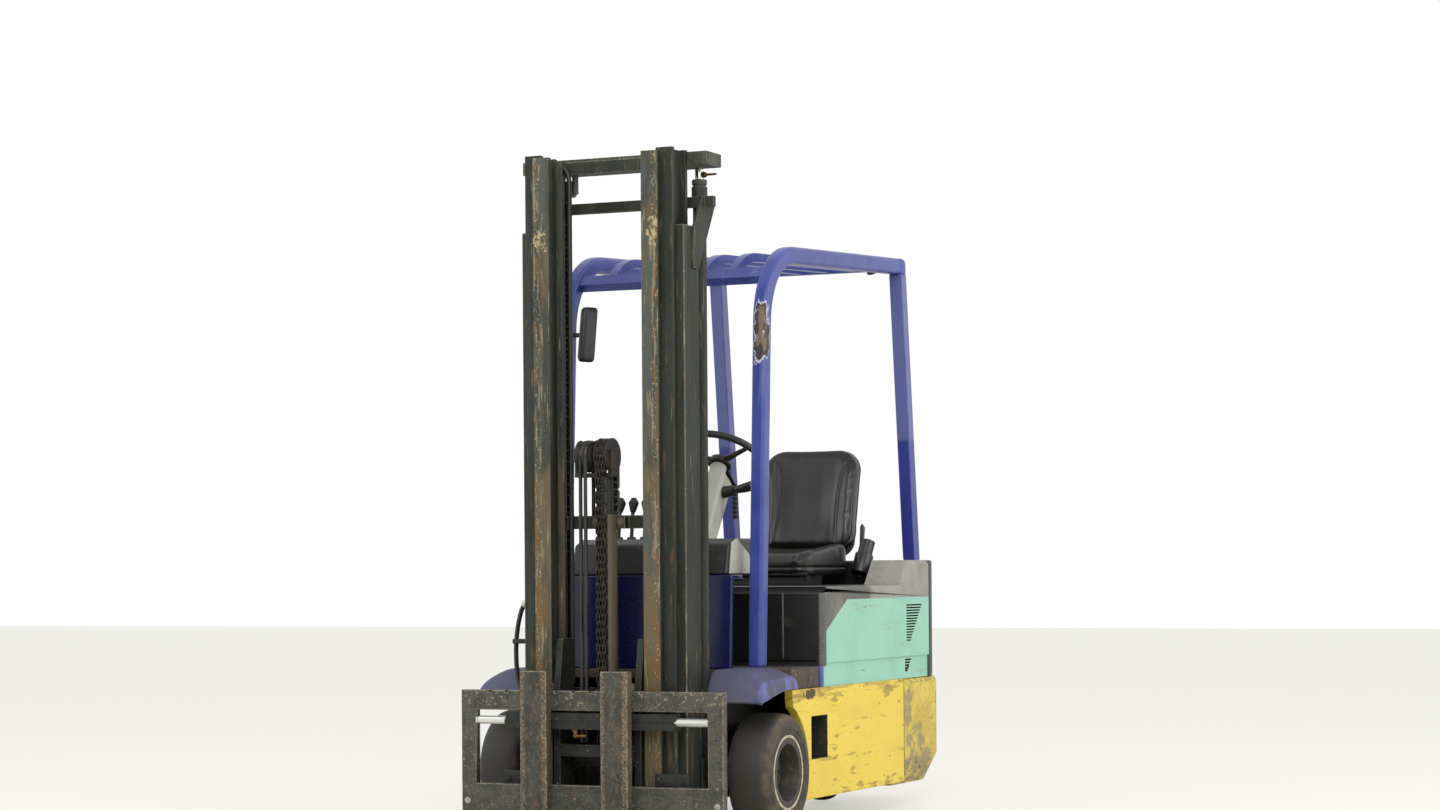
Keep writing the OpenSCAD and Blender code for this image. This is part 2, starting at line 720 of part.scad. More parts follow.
module shift_barrel() {
  color("#30322d") difference() {
    box([-312, shift_y + 2, shift_rod_z - 27], [312, plate_y, shift_rod_z + 27]);
    bar_x(-320, 320, shift_rod_y, shift_rod_z, shift_rod_r + 0.3);
  }
}

// side-shift frame with its two fork bars and end posts
module shift_frame() {
  w = carriage_w / 2;
  y1 = shift_y + shift_t;
  color("#3f423c") {
    difference() {
      box([-w, shift_y, carriage_top - bar_h], [w, y1, carriage_top]);
      for (i = [-6:6]) {
        box([i * 62 - 5, shift_y - 1, carriage_top - 8], [i * 62 + 5, y1 + 1, carriage_top + 1]);
      }
    }
    box([-w, shift_y, carriage_low], [w, y1, carriage_low + low_bar_h]);
    both() box([w - post_w, shift_y, carriage_low + low_bar_h], [w, y1, carriage_top - bar_h]);
    bar_x(-w + post_w, w - post_w, shift_rod_y, shift_rod_z, shift_rod_r);
  }
}

module fork(x) {
  z1 = fork_low + fork_t;
  hook_y = fork_back + 22;
  color("#44463f") difference() {
    side_plate(x - fork_w / 2, x + fork_w / 2) polygon([[fork_back, fork_top], [fork_face, fork_top], [fork_face, z1 + 34],
      [fork_face - 10, z1 + 10], [fork_face - 34, z1], [fork_tip + 24, z1], [fork_tip, z1 - 8], [fork_tip, z1 - 16],
      [fork_face - 300, fork_low], [fork_face - 10, fork_low], [fork_face + 18, fork_low + 10], [fork_back, fork_low + 34],
      [fork_back, carriage_low - 22], [hook_y, carriage_low - 22], [hook_y, carriage_low - 0.4], [fork_back, carriage_low - 0.4],
      [fork_back, carriage_top + 0.4], [hook_y, carriage_top + 0.4], [hook_y, carriage_top + 26], [fork_back, carriage_top + 26]]);
  }
}

module left_fork() {
  fork(fork_left_x);
}

module right_fork() {
  fork(-fork_right_x);
}

// tilt cylinders between the frame and the outer stage
module on_tilt_axis() {
  both() translate([tilt_x, base_y, base_z]) rotate([90 - tilt_a, 0, 0]) children();
}

module tilt_barrels() {
  color("#4b4d47") on_tilt_axis() difference() {
    union() {
      translate([0, 0, 24]) cylinder(r = 31, h = 208);
      rotate([0, 90, 0]) cylinder(r = 28, h = 44, center = true);
    }
    rotate([0, 90, 0]) cylinder(r = 15.1, h = 60, center = true);
    translate([0, 0, 60]) cylinder(r = 16.3, h = 400);
  }
}

module tilt_rods() {
  color("#b9bbb8") on_tilt_axis() difference() {
    union() {
      translate([0, 0, 100]) cylinder(r = 16, h = tilt_len - 118);
      translate([0, 0, tilt_len]) rotate([0, 90, 0]) cylinder(r = 24, h = 34, center = true);
    }
    translate([0, 0, tilt_len]) rotate([0, 90, 0]) cylinder(r = 13, h = 60, center = true);
  }
}

// steer unit under the rear weight
module steer_yoke() {
  color("#3b3c38") translate([0, wheelbase, 0]) difference() {
    union() {
      translate([0, 0, steer_d + 10]) cylinder(r = 140, h = 425 - steer_d - 14);
      translate([0, 0, 421]) cylinder(r = 35, h = 36);
      box([-34, -62, steer_z - 62], [34, 62, steer_d + 10]);
    }
    bar_x(-60, 60, 0, steer_z, 30.1);
  }
}

steer_bore = 92;

module rear_tyres() {
  color("#2f2e29") both() translate([steer_gap / 2 + steer_w / 2, wheelbase, steer_z]) turned_x()
    tyre_profile(steer_d / 2, steer_w, steer_bore, steer_bore + 16);
}

module rear_rims() {
  color("#44423a") translate([0, wheelbase, steer_z]) {
    bar_x(-steer_gap / 2 - steer_w / 2, steer_gap / 2 + steer_w / 2, 0, 0, 30);
    both() translate([steer_gap / 2 + steer_w / 2, 0, 0]) turned_x() rim_profile(steer_w, steer_bore, steer_bore + 16, 26);
  }
}

place() {
  front_left_tyre();
  front_right_tyre();
  front_left_rim();
  front_right_rim();
  front_axle();
  main_frame();
  battery();
  counterweight();
  tow_clevis();
  hood();
  rear_cover();
  side_panels();
  floor_plate();
  fenders();
  cowl();
  dash();
  column();
  steering_wheel();
  controls();
  seat_base();
  seat_cushion();
  seat_back();
  guard_tubes();
  guard_rear_posts();
  roof_grille();
  mirror_head();
  outer_rails();
  outer_ties();
  lift_barrels();
  middle_rails();
  middle_ties();
  lift_rods();
  lift_chains();
  inner_rails();
  inner_ties();
  free_barrel();
  free_head();
  free_chain();
  mast_hose();
  carriage_frame();
  shift_barrel();
  shift_frame();
  left_fork();
  right_fork();
  tilt_barrels();
  tilt_rods();
  steer_yoke();
  rear_tyres();
  rear_rims();
}
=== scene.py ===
import json
import math
import bpy
from mathutils import Matrix, Vector

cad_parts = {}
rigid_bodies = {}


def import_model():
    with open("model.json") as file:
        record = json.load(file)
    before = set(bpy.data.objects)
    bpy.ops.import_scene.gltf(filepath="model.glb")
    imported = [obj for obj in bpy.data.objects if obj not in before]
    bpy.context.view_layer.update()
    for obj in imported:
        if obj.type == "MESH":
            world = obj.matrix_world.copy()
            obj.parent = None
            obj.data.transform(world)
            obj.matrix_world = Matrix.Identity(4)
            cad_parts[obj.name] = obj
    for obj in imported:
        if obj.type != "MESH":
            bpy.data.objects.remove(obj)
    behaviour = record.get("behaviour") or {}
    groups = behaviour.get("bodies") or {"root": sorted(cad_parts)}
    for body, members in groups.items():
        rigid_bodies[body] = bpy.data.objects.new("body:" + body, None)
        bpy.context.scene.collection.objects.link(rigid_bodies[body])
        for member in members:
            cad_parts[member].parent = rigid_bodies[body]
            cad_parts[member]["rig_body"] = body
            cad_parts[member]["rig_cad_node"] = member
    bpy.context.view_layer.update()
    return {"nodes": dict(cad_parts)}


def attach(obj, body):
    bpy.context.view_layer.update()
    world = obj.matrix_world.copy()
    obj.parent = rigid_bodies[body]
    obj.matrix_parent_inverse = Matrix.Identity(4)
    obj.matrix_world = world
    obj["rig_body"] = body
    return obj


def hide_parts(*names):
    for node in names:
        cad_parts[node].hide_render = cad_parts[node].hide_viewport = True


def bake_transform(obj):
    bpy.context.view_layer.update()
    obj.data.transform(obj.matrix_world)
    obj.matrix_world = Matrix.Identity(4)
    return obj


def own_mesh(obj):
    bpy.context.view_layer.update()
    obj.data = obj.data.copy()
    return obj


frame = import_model()
nodes = frame["nodes"]
axleY = -92.8  # the front axle, in millimetres from the middle of the truck's length
print("stage: frame loaded,", len(nodes), "solids")


def at(x, y, z):  # millimetres from the front axle to metres in the shared frame
    return Vector((x / 1000, (y + axleY) / 1000, z / 1000))


# camera first: the photograph's viewing angle, in its 1440 x 810 frame
view = dict(place=(4.4396, -9.2918, 0.8905), yaw=24.28, roll=-0.41, lens=75.0, shiftY=0.1113)
bpy.ops.object.camera_add(location=view["place"])
camera = bpy.context.object
turn = Matrix.Rotation(math.radians(view["yaw"]), 3, "Z") @ Matrix.Rotation(math.pi / 2, 3, "X")
camera.rotation_euler = (turn @ Matrix.Rotation(math.radians(view["roll"]), 3, "Z")).to_euler()
camera.data.sensor_width = 36
camera.data.lens = view["lens"]
camera.data.shift_y = view["shiftY"]
camera.data.clip_end = 200
bpy.context.scene.camera = camera


def linear(code):  # sRGB hex to the linear colour a shader takes
    parts = [int(code[i:i + 2], 16) / 255 for i in (0, 2, 4)]
    return [p / 12.92 if p <= 0.04045 else ((p + 0.055) / 1.055) ** 2.4 for p in parts] + [1]


def addNode(tree, kind, wires=None, out=0, **settings):
    node = tree.nodes.new("ShaderNode" + kind)
    for key, value in settings.items():
        setattr(node, key, value)
    for key, value in (wires or {}).items():
        if isinstance(value, bpy.types.NodeSocket):
            tree.links.new(value, node.inputs[key])
        else:
            node.inputs[key].default_value = value
    return node.outputs[out] if node.outputs else node


# a finish is a base colour and the layers that lie over it, as rows of colour, size, start, full, amount, stretch,
# zones, roughness and dent: each shows where a noise of size mm passes start to full, and more in its zones, a band
# (axis, from, to, gain) in metres or a spot (centre mm, reach mm, gain)
restOfRow = (1.0, None, (), None, 0.0)  # what a short row leaves out
upright, lengthwise = (1, 1, 0.1), (1, 0.12, 1)
mastKnocks = [((-204, -345, 1972), (40, 40, 56), 0.35), ((214, -345, 1990), (36, 40, 84), 0.35)]
mastRub = [("X", 0.203, 0.231, 0.07)]
forkRims = [("X", 0.054, 0.072, 0.12), ("X", 0.136, 0.160, 0.12), ("X", 0.222, 0.242, 0.12)]
guardScrape = [((388, 140, 1700), (62, 62, 190), 0.44)]
finishes = {
    # enamel on rolled steel: satin grey-green, rubbed to beige and rust where the stages and loads pass
    "mastEnamel": dict(base="484d45", rough=0.54, shine=0.3, bump=0.3, layers=[
        ("30342d", 50, 0.43, 0.6, 0.85, upright),
        ("64583d", 110, 0.5, 0.72, 0.8, (1, 1, 0.3), [("Z", -0.3, 1.22, 0.14)]),
        ("666a5f", 6, 0.55, 0.7, 0.6), ("857c61", 11, 0.59, 0.66, 0.8, (1, 1, 0.09), mastRub, 0.62),
        ("6f5030", 16, 0.615, 0.68, 0.85, (1, 1, 0.2), mastRub + [("Z", -0.2, 0.95, 0.06)], 0.72, 0.3),
        ("b3a683", 5, 0.68, 0.71, 0.85, (1, 1, 0.6), mastRub, 0.6, 0.3),
        ("b0a27a", 13, 0.75, 0.88, 0.95, (1, 1, 0.8), mastKnocks, 0.7, 0.5),
        ("6b4c2c", 9, 0.86, 0.94, 0.9, (1, 1, 0.6), mastKnocks, 0.75)]),
    # the same enamel painted darker as painted shade, for the rails and faces set back from the light, with thin pale
    # streaks and with rust and grime low down
    "mastEnamelPaintedShade": dict(base="31352e", rough=0.55, shine=0.25, bump=0.3, layers=[
        ("23261f", 60, 0.42, 0.6, 0.85, upright), ("4b4f45", 8, 0.56, 0.74, 0.5),
        ("6f6b57", 13, 0.62, 0.69, 0.7, (1, 1, 0.07), (), 0.62),
        ("5d4931", 22, 0.64, 0.7, 0.75, (1, 1, 0.16), [("Z", -0.2, 0.8, 0.05)], 0.72, 0.3)]),
    # the same enamel on an edge: rubbed thin, steel and rust showing
    "mastEdge": dict(base="51554c", rough=0.5, bump=0.2, layers=[
        ("3c4039", 40, 0.44, 0.6, 0.8, upright), ("827c66", 20, 0.53, 0.63, 0.8, (1, 1, 0.2), (), 0.55),
        ("6b5236", 22, 0.58, 0.64, 0.9, (1, 1, 0.3), [("Z", -0.2, 1.1, 0.04)], 0.7, 0.3),
        ("a89c7c", 7, 0.62, 0.7, 0.8)]),
    # drawn steel tube, old oil film over rust: brown, a soft sheen
    "oiledTube": dict(base="5b513d", rough=0.46, bump=0.2, layers=[
        ("423c30", 70, 0.42, 0.6, 0.9, upright), ("7c6b48", 6, 0.56, 0.72, 0.5),
        ("6d4e2d", 30, 0.56, 0.62, 0.8, upright, (), 0.62)]),
    # forged steel: dark and oily in the middle, rust creeping in from rims that loads have scraped pale
    "forgedSteel": dict(base="44453c", rough=0.46, bump=0.35, metal=0.3, layers=[
        ("31332c", 60, 0.42, 0.58, 0.85, (1, 1, 0.5)), ("625e4e", 12, 0.5, 0.66, 0.7, (1, 1, 0.6)),
        ("62503a", 34, 0.57, 0.66, 0.7, (1, 1, 0.5), forkRims, 0.7, 0.2),
        ("6f5234", 14, 0.62, 0.7, 0.7, (1, 1, 0.6), forkRims + [("Z", 0.3, 0.6, 0.03)], 0.75, 0.3),
        ("938d78", 5, 0.61, 0.7, 0.6, None, forkRims, 0.4)]),
    # the forged rims: scraped to pale steel
    "forgedRim": dict(base="7f7a69", rough=0.4, bump=0.3, metal=0.5, layers=[
        ("5c5746", 24, 0.44, 0.58, 0.9), ("b0aa95", 5, 0.54, 0.68, 0.7),
        ("6d4f2f", 22, 0.58, 0.63, 0.9, None, (), 0.65, 0.3)]),
    # flame-cut plate: dull dark paint, knocked and scraped all over
    "carriagePlate": dict(base="4a4a42", rough=0.5, bump=0.35, metal=0.2, layers=[
        ("33352e", 44, 0.42, 0.58, 0.85), ("77725f", 6, 0.52, 0.68, 0.7),
        ("8f8973", 15, 0.645, 0.69, 0.8, None, [("Z", 0.43, 0.485, 0.06), ("X", 0.44, 0.5, 0.03)], 0.6, 0.3),
        ("62462c", 24, 0.62, 0.68, 0.9, None, (), 0.72, 0.3)]),
    # machined blocks under dark paint: even and low in gloss
    "blockEnamel": dict(base="272a24", shine=0.3, rough=0.48, bump=0.2, layers=[
        ("1e201b", 50, 0.42, 0.6, 0.9), ("43453c", 6, 0.56, 0.72, 0.5),
        ("7b7664", 14, 0.67, 0.71, 0.9, None, (), 0.6, 0.3), ("574430", 30, 0.64, 0.7, 0.7)]),
    # sand-cast iron: coarse skin, grease and road dust in it
    "castIron": dict(base="2b2b26", rough=0.62, bump=0.4, layers=[
        ("1f1f1b", 40, 0.42, 0.6, 0.9), ("4b4637", 4, 0.54, 0.7, 0.6),
        ("463a2b", 60, 0.52, 0.68, 0.7, None, [("Z", -0.1, 0.3, 0.05)], 0.78),
        ("6b563a", 16, 0.65, 0.7, 0.8, None, (), 0.75, 0.3)]),
    # gloss yellow enamel on steel plate: long scuffs, grime along the top, chips along the bottom
    "yellowEnamel": dict(base="ebcf42", rough=0.4, bump=0.15, layers=[
        ("e0c33d", 170, 0.42, 0.62, 0.7, (1, 0.35, 1)), ("cfae3c", 9, 0.58, 0.74, 0.4),
        ("b59c4a", 26, 0.63, 0.68, 0.8, (1, 0.07, 1), [("Z", 0.20, 0.222, 0.1), ("Z", 0.435, 0.475, 0.08)], 0.6),
        ("9c8546", 26, 0.61, 0.69, 0.75, (1, 0.25, 1), [("Z", 0.415, 0.48, 0.1), ("Z", 0.02, 0.13, 0.09)], 0.7),
        ("a58d45", 11, 0.67, 0.695, 0.7, (1, 0.05, 1), (), 0.55),
        ("6a5c40", 9, 0.68, 0.72, 0.9, (1, 0.5, 1), [("Z", 0.203, 0.219, 0.05), ("Z", 0.02, 0.13, 0.06),
                                                          ("Z", 0.44, 0.48, 0.06)], 0.7, 0.4),
        ("3f362a", 40, 0.84, 0.88, 0.95, None, [((512, 245, 450), (40, 92, 30), 0.5)], 0.75, 0.3)]),
    # the same enamel on an edge: chipped to dirty primer
    "yellowEdge": dict(base="d9bf49", rough=0.48, bump=0.2, layers=[
        ("b89e45", 50, 0.44, 0.6, 0.8), ("8f8058", 22, 0.5, 0.58, 0.85, (1, 0.5, 1), (), 0.65, 0.3),
        ("5d5039", 10, 0.6, 0.66, 0.9, None, (), 0.72, 0.3)]),
    # cast counterweight: the yellow ground down to grey-brown filler by every wall it has met
    "wornCasting": dict(base="dcc550", rough=0.5, bump=0.35, layers=[
        ("c6ac45", 110, 0.42, 0.6, 0.8), ("a8965c", 12, 0.52, 0.66, 0.7),
        ("93886a", 60, 0.5, 0.6, 0.85, (1, 0.6, 0.7), [("Y", 1.40, 1.70, 0.05), ("Z", 0.02, 0.2, 0.07)],
         0.76, 0.4),
        ("b9aa86", 22, 0.6, 0.67, 0.7, None, [("Y", 1.42, 1.7, 0.04)], 0.7),
        ("5d5340", 12, 0.62, 0.68, 0.9, (1, 0.6, 1), [("Z", 0.02, 0.16, 0.07)], 0.78, 0.4)]),
    # blue enamel on steel tube: good gloss, dust on it, one long scrape through to bare steel
    "blueEnamel": dict(base="3c4994", rough=0.32, bump=0.12, layers=[
        ("323e85", 130, 0.42, 0.62, 0.8), ("5560a3", 6, 0.6, 0.76, 0.45),
        ("6a72b4", 60, 0.6, 0.72, 0.5, upright), ("8f8c94", 8, 0.715, 0.74, 0.9, None, (), 0.6, 0.3),
        ("c9cddc", 42, 0.76, 0.79, 1, (1, 1, 0.6), guardScrape, 0.5, 0.2),
        ("37312b", 42, 0.8, 0.83, 1, (1, 1, 0.6), guardScrape, 0.6, 0.5),
        ("7d6955", 26, 0.9, 0.98, 0.85, (1, 1, 0.4), guardScrape, 0.7)]),
    # the same enamel on the rear posts: deep blue, with a paler grey band from 1.35 m up, above the seat back
    "postEnamel": dict(base="2a3384", rough=0.32, bump=0.12, layers=[
        ("242c78", 120, 0.42, 0.62, 0.7), ("5c6596", 260, 0.75, 1.0, 0.85, None, [("Z", 1.35, 2.6, 0.6)]),
        ("7c82b8", 6, 0.62, 0.78, 0.35), ("8f8c94", 7, 0.72, 0.75, 0.9, None, (), 0.6, 0.3)]),
    # the enamel's edges: rubbed lighter
    "blueEdge": dict(base="4b54a4", rough=0.34, bump=0.12, layers=[
        ("3b4598", 60, 0.44, 0.6, 0.8), ("7e85c0", 7, 0.56, 0.72, 0.5),
        ("a3a3b4", 10, 0.66, 0.7, 0.9, None, (), 0.5, 0.3)]),
    # deep blue enamel on pressed sheet: high gloss, few marks
    "deepEnamel": dict(base="0f1347", rough=0.24, bump=0.05, layers=[
        ("0d103d", 160, 0.42, 0.62, 0.8), ("22276a", 50, 0.62, 0.74, 0.5),
        ("6d7094", 9, 0.735, 0.75, 0.9, None, (), 0.4, 0.2)]),
    # blue enamel under years of dust: dull, with a painted highlight of brighter, glossier blue along the rolled lip
    "dustyEnamelLipHighlight": dict(base="424562", rough=0.56, bump=0.2, layers=[
        ("4f4c5c", 180, 0.38, 0.66, 0.7), ("76748a", 5, 0.58, 0.74, 0.4),
        ("565058", 90, 0.46, 0.74, 0.6, None, [("Z", 0.3, 0.462, 0.06)], 0.7),
        # painted highlight: brighter blue along the rolled lip
        ("5f66a8", 70, 0.6, 0.82, 0.8, None, [("X", 0.512, 0.56, 0.16)], 0.42),
        ("8a8592", 12, 0.71, 0.74, 0.8, None, (), 0.6, 0.3)]),
    # pale green enamel on sheet: clean, thin scratches drawn along it
    "tealEnamel": dict(base="94ccb6", rough=0.38, bump=0.07, layers=[
        ("8ac3ad", 240, 0.42, 0.62, 0.7), ("a2d5c2", 14, 0.56, 0.74, 0.35),
        ("a9b59c", 40, 0.64, 0.74, 0.5, lengthwise),
        ("4f7568", 15, 0.69, 0.705, 0.85, (1, 0.05, 0.7), (), 0.5, 0.3),
        ("8f9f84", 60, 0.6, 0.72, 0.6, lengthwise, [("Z", 0.4, 0.5, 0.08)])]),
    # moulded ABS, grey: fine spark texture, scuffs
    "greyAbs": dict(base="98968d", rough=0.48, bump=0.15, grain=2.5, layers=[
        ("868379", 90, 0.42, 0.62, 0.8), ("3d3d3a", 300, 0.5, 0.95, 0.85, None, [("Y", 0.0, 0.72, 0.42)]),
        ("a9a79d", 4, 0.54, 0.7, 0.5),
        ("6d675c", 34, 0.64, 0.72, 0.6, lengthwise),
        ("59524a", 12, 0.7, 0.73, 0.85, (1, 0.4, 1), (), 0.6, 0.2)]),
    # moulded ABS, black: fine spark texture, dusty in the lows
    "blackAbs": dict(base="1d1e1c", rough=0.42, bump=0.2, grain=2.5, layers=[
        ("161715", 80, 0.42, 0.62, 0.8), ("343530", 4, 0.56, 0.72, 0.5),
        ("3d3931", 60, 0.58, 0.72, 0.6, None, (), 0.55),
        ("5a564d", 12, 0.72, 0.75, 0.8, None, (), 0.55, 0.2)]),
    # moulded ABS, light grey: clean cover
    "paleAbs": dict(base="b2b1a7", rough=0.48, bump=0.1, grain=2.5, layers=[
        ("a09f95", 80, 0.42, 0.62, 0.8), ("c0bfb6", 4, 0.56, 0.72, 0.4),
        ("76736a", 30, 0.66, 0.74, 0.6), ("5f5c54", 9, 0.72, 0.75, 0.8)]),
    # dark green edge trim: satin enamel
    "trimEnamel": dict(base="29433a", rough=0.44, bump=0.1, layers=[
        ("20362f", 60, 0.42, 0.62, 0.8), ("44625a", 6, 0.56, 0.72, 0.4),
        ("7c8a80", 10, 0.69, 0.72, 0.9, None, (), 0.55, 0.2)]),
    # ribbed floor rubber: matt, brown with trodden dirt
    "floorRubber": dict(base="463d32", rough=0.72, bump=0.4, layers=[
        ("352e27", 60, 0.42, 0.6, 0.85), ("6b5d4a", 6, 0.52, 0.68, 0.7),
        ("75644a", 50, 0.58, 0.68, 0.7, None, (), 0.8)]),
    # leaf chain: oiled steel, black in the joints, rubbed on the plates
    "chainSteel": dict(base="312e28", rough=0.4, bump=0.2, metal=0.6, layers=[
        ("211f1c", 18, 0.42, 0.6, 0.9), ("5d5646", 4, 0.54, 0.7, 0.7),
        ("6b553a", 14, 0.6, 0.66, 0.8, None, (), 0.6), ("857d69", 7, 0.66, 0.71, 0.8, None, (), 0.35)]),
    # hard chrome on a ground rod: mirror bright, a few grey bands of old oil
    "rodChrome": dict(base="d5d5d2", rough=0.14, bump=0.03, metal=1.0, layers=[
        ("bdbdb8", 60, 0.44, 0.62, 0.7), ("8d8676", 14, 0.66, 0.72, 0.7, (0.3, 1, 1), (), 0.35)]),
    # the same plating on the shift rod: black with oil where it runs through its block
    "oiledChrome": dict(base="2a2c28", rough=0.4, bump=0.1, metal=0.6, layers=[
        ("d9dad6", 200, 0.76, 0.8, 1, None, [("X", 0.306, 0.6, 0.5)], 0.16)]),
    # pressed steel rim: dull brown-black
    "rimSteel": dict(base="37352e", rough=0.58, bump=0.25, layers=[
        ("292822", 40, 0.42, 0.6, 0.85), ("5a5445", 4, 0.54, 0.7, 0.6),
        ("64543c", 30, 0.56, 0.66, 0.7, None, (), 0.72), ("8a806b", 9, 0.68, 0.72, 0.8)]),
    # the rim's rolled lip: bare pale steel
    "rimLip": dict(base="cbc1a6", rough=0.45, bump=0.2, metal=0.3, layers=[
        ("a3987d", 24, 0.44, 0.6, 0.85), ("ded7c2", 4, 0.54, 0.7, 0.5),
        ("6d604a", 14, 0.58, 0.64, 0.9)]),
    # hydraulic hose: smooth black rubber, greasy
    "hoseRubber": dict(base="1b1c19", rough=0.46, bump=0.15, layers=[
        ("141513", 30, 0.42, 0.6, 0.9), ("35332c", 4, 0.56, 0.72, 0.5),
        ("4c463a", 20, 0.66, 0.74, 0.6)]),
    # battery tray: acid-proof grey paint
    "trayEnamel": dict(base="37393d", rough=0.6, bump=0.2, layers=[
        ("2b2d30", 60, 0.42, 0.6, 0.9), ("55575b", 5, 0.56, 0.72, 0.4),
        ("6a665c", 16, 0.68, 0.73, 0.8)]),
    # zinc-plated bolt: pale, going dull
    "boltZinc": dict(base="b5b1a4", rough=0.35, bump=0.1, metal=0.8, layers=[
        ("8f8b7e", 10, 0.42, 0.6, 0.9), ("cfccc0", 3, 0.54, 0.7, 0.5),
        ("6f5a3b", 8, 0.62, 0.67, 0.8)]),
    # turned brass: warm, tarnished
    "brassFitting": dict(base="7d6636", rough=0.38, bump=0.1, metal=0.8, layers=[
        ("5f4c28", 10, 0.42, 0.6, 0.9), ("937b45", 3, 0.54, 0.7, 0.5), ("4b3a22", 8, 0.6, 0.66, 0.8)]),
}


def startMaterial(name):  # an empty material, its node tree and the object's own coordinates
    finish = bpy.data.materials.new(name)
    finish.use_nodes = True
    finish.node_tree.nodes.clear()
    return finish, finish.node_tree, addNode(finish.node_tree, "TexCoord", out="Object")


def makeFinish(name, look):
    finish, tree, place = startMaterial(name)
    axes = addNode(tree, "SeparateXYZ", {0: place}).node.outputs
    grain = addNode(tree, "TexNoise", {"Vector": place, "Scale": 1000 / look.get("grain", 5), "Detail": 3.0})
    colour, height = linear(look["base"]), grain
    rough = addNode(tree, "MapRange", {"Value": grain, "From Min": 0.3, "From Max": 0.7,
                                       "To Min": look["rough"] - 0.06, "To Max": look["rough"] + 0.08})
    for row in look["layers"]:
        tint, size, start, full, amount, stretch, zones, gloss, dent = row + restOfRow[len(row) - 4:]
        spread = addNode(tree, "Mapping", {"Vector": place, "Scale": stretch}) if stretch else place
        field = addNode(tree, "TexNoise", {"Vector": spread, "Scale": 1000 / size, "Detail": 5.0, "Roughness": 0.6})
        for zone in zones:
            if len(zone) == 4:  # a band along one axis, the same on both sides of the truck
                axis, low, high, gain = zone
                along = addNode(tree, "Math", {0: axes[axis]}, operation="ABSOLUTE") if axis == "X" else axes[axis]
                soft = min((high - low) * 0.25, 0.04)
                for edge, way in ((low, "ADD"), (high, "SUBTRACT")):
                    ramp = addNode(tree, "MapRange", {"Value": along, "From Min": edge - soft,
                                                      "From Max": edge + soft, "To Max": gain},
                                   interpolation_type="SMOOTHSTEP")
                    field = addNode(tree, "Math", {0: field, 1: ramp}, operation=way)
            else:  # a spot, an ellipsoid about its centre
                centre, reach, gain = zone
                away = addNode(tree, "VectorMath", {0: place, 1: at(*centre)}, operation="SUBTRACT")
                share = addNode(tree, "VectorMath", {0: away, 1: [1000 / r for r in reach]}, operation="MULTIPLY")
                far = addNode(tree, "VectorMath", {0: share}, out="Value", operation="LENGTH")
                near = addNode(tree, "MapRange", {"Value": far, "From Min": 0.3, "From Max": 1.15, "To Min": gain,
                                                  "To Max": 0.0}, interpolation_type="SMOOTHSTEP")
                field = addNode(tree, "Math", {0: field, 1: near}, operation="ADD")
        mask = addNode(tree, "MapRange", {"Value": field, "From Min": start, "From Max": full, "To Max": amount},
                       interpolation_type="SMOOTHSTEP")
        colour = addNode(tree, "Mix", {0: mask, 6: colour, 7: linear(tint)}, out=2, data_type="RGBA")
        if gloss is not None:
            rough = addNode(tree, "Mix", {0: mask, 2: rough, 3: gloss})
        if dent:
            height = addNode(tree, "Math", {0: mask, 1: -dent, 2: height}, operation="MULTIPLY_ADD")
    bump = addNode(tree, "Bump", {"Strength": look["bump"], "Distance": 0.0012, "Height": height})
    shader = addNode(tree, "BsdfPrincipled", {"Base Color": colour, "Roughness": rough, "Normal": bump,
                                              "Specular IOR Level": look.get("shine", 0.5),
                                              "Metallic": look.get("metal", 0.0)})
    addNode(tree, "OutputMaterial", {"Surface": shader})
    return finish


materials = {name: makeFinish(name, look) for name, look in finishes.items()}


def makeVinyl():  # embossed vinyl over foam: fine pebble grain, soft gloss, dust in the grain
    finish, tree, place = startMaterial("seatVinyl")
    grain = addNode(tree, "TexVoronoi", {"Vector": place, "Scale": 1000 / 3.5}, feature="SMOOTH_F1")
    dirt = addNode(tree, "TexNoise", {"Vector": place, "Scale": 1000 / 120, "Detail": 5.0})
    colour = addNode(tree, "Mix", {0: dirt, 6: linear("141512"), 7: linear("20211c")}, out=2, data_type="RGBA")
    rough = addNode(tree, "MapRange", {"Value": dirt, "From Min": 0.3, "From Max": 0.7, "To Min": 0.27,
                                       "To Max": 0.42})
    bump = addNode(tree, "Bump", {"Strength": 0.12, "Distance": 0.0006, "Height": grain})
    shader = addNode(tree, "BsdfPrincipled", {"Base Color": colour, "Roughness": rough, "Normal": bump})
    addNode(tree, "OutputMaterial", {"Surface": shader})
    return finish


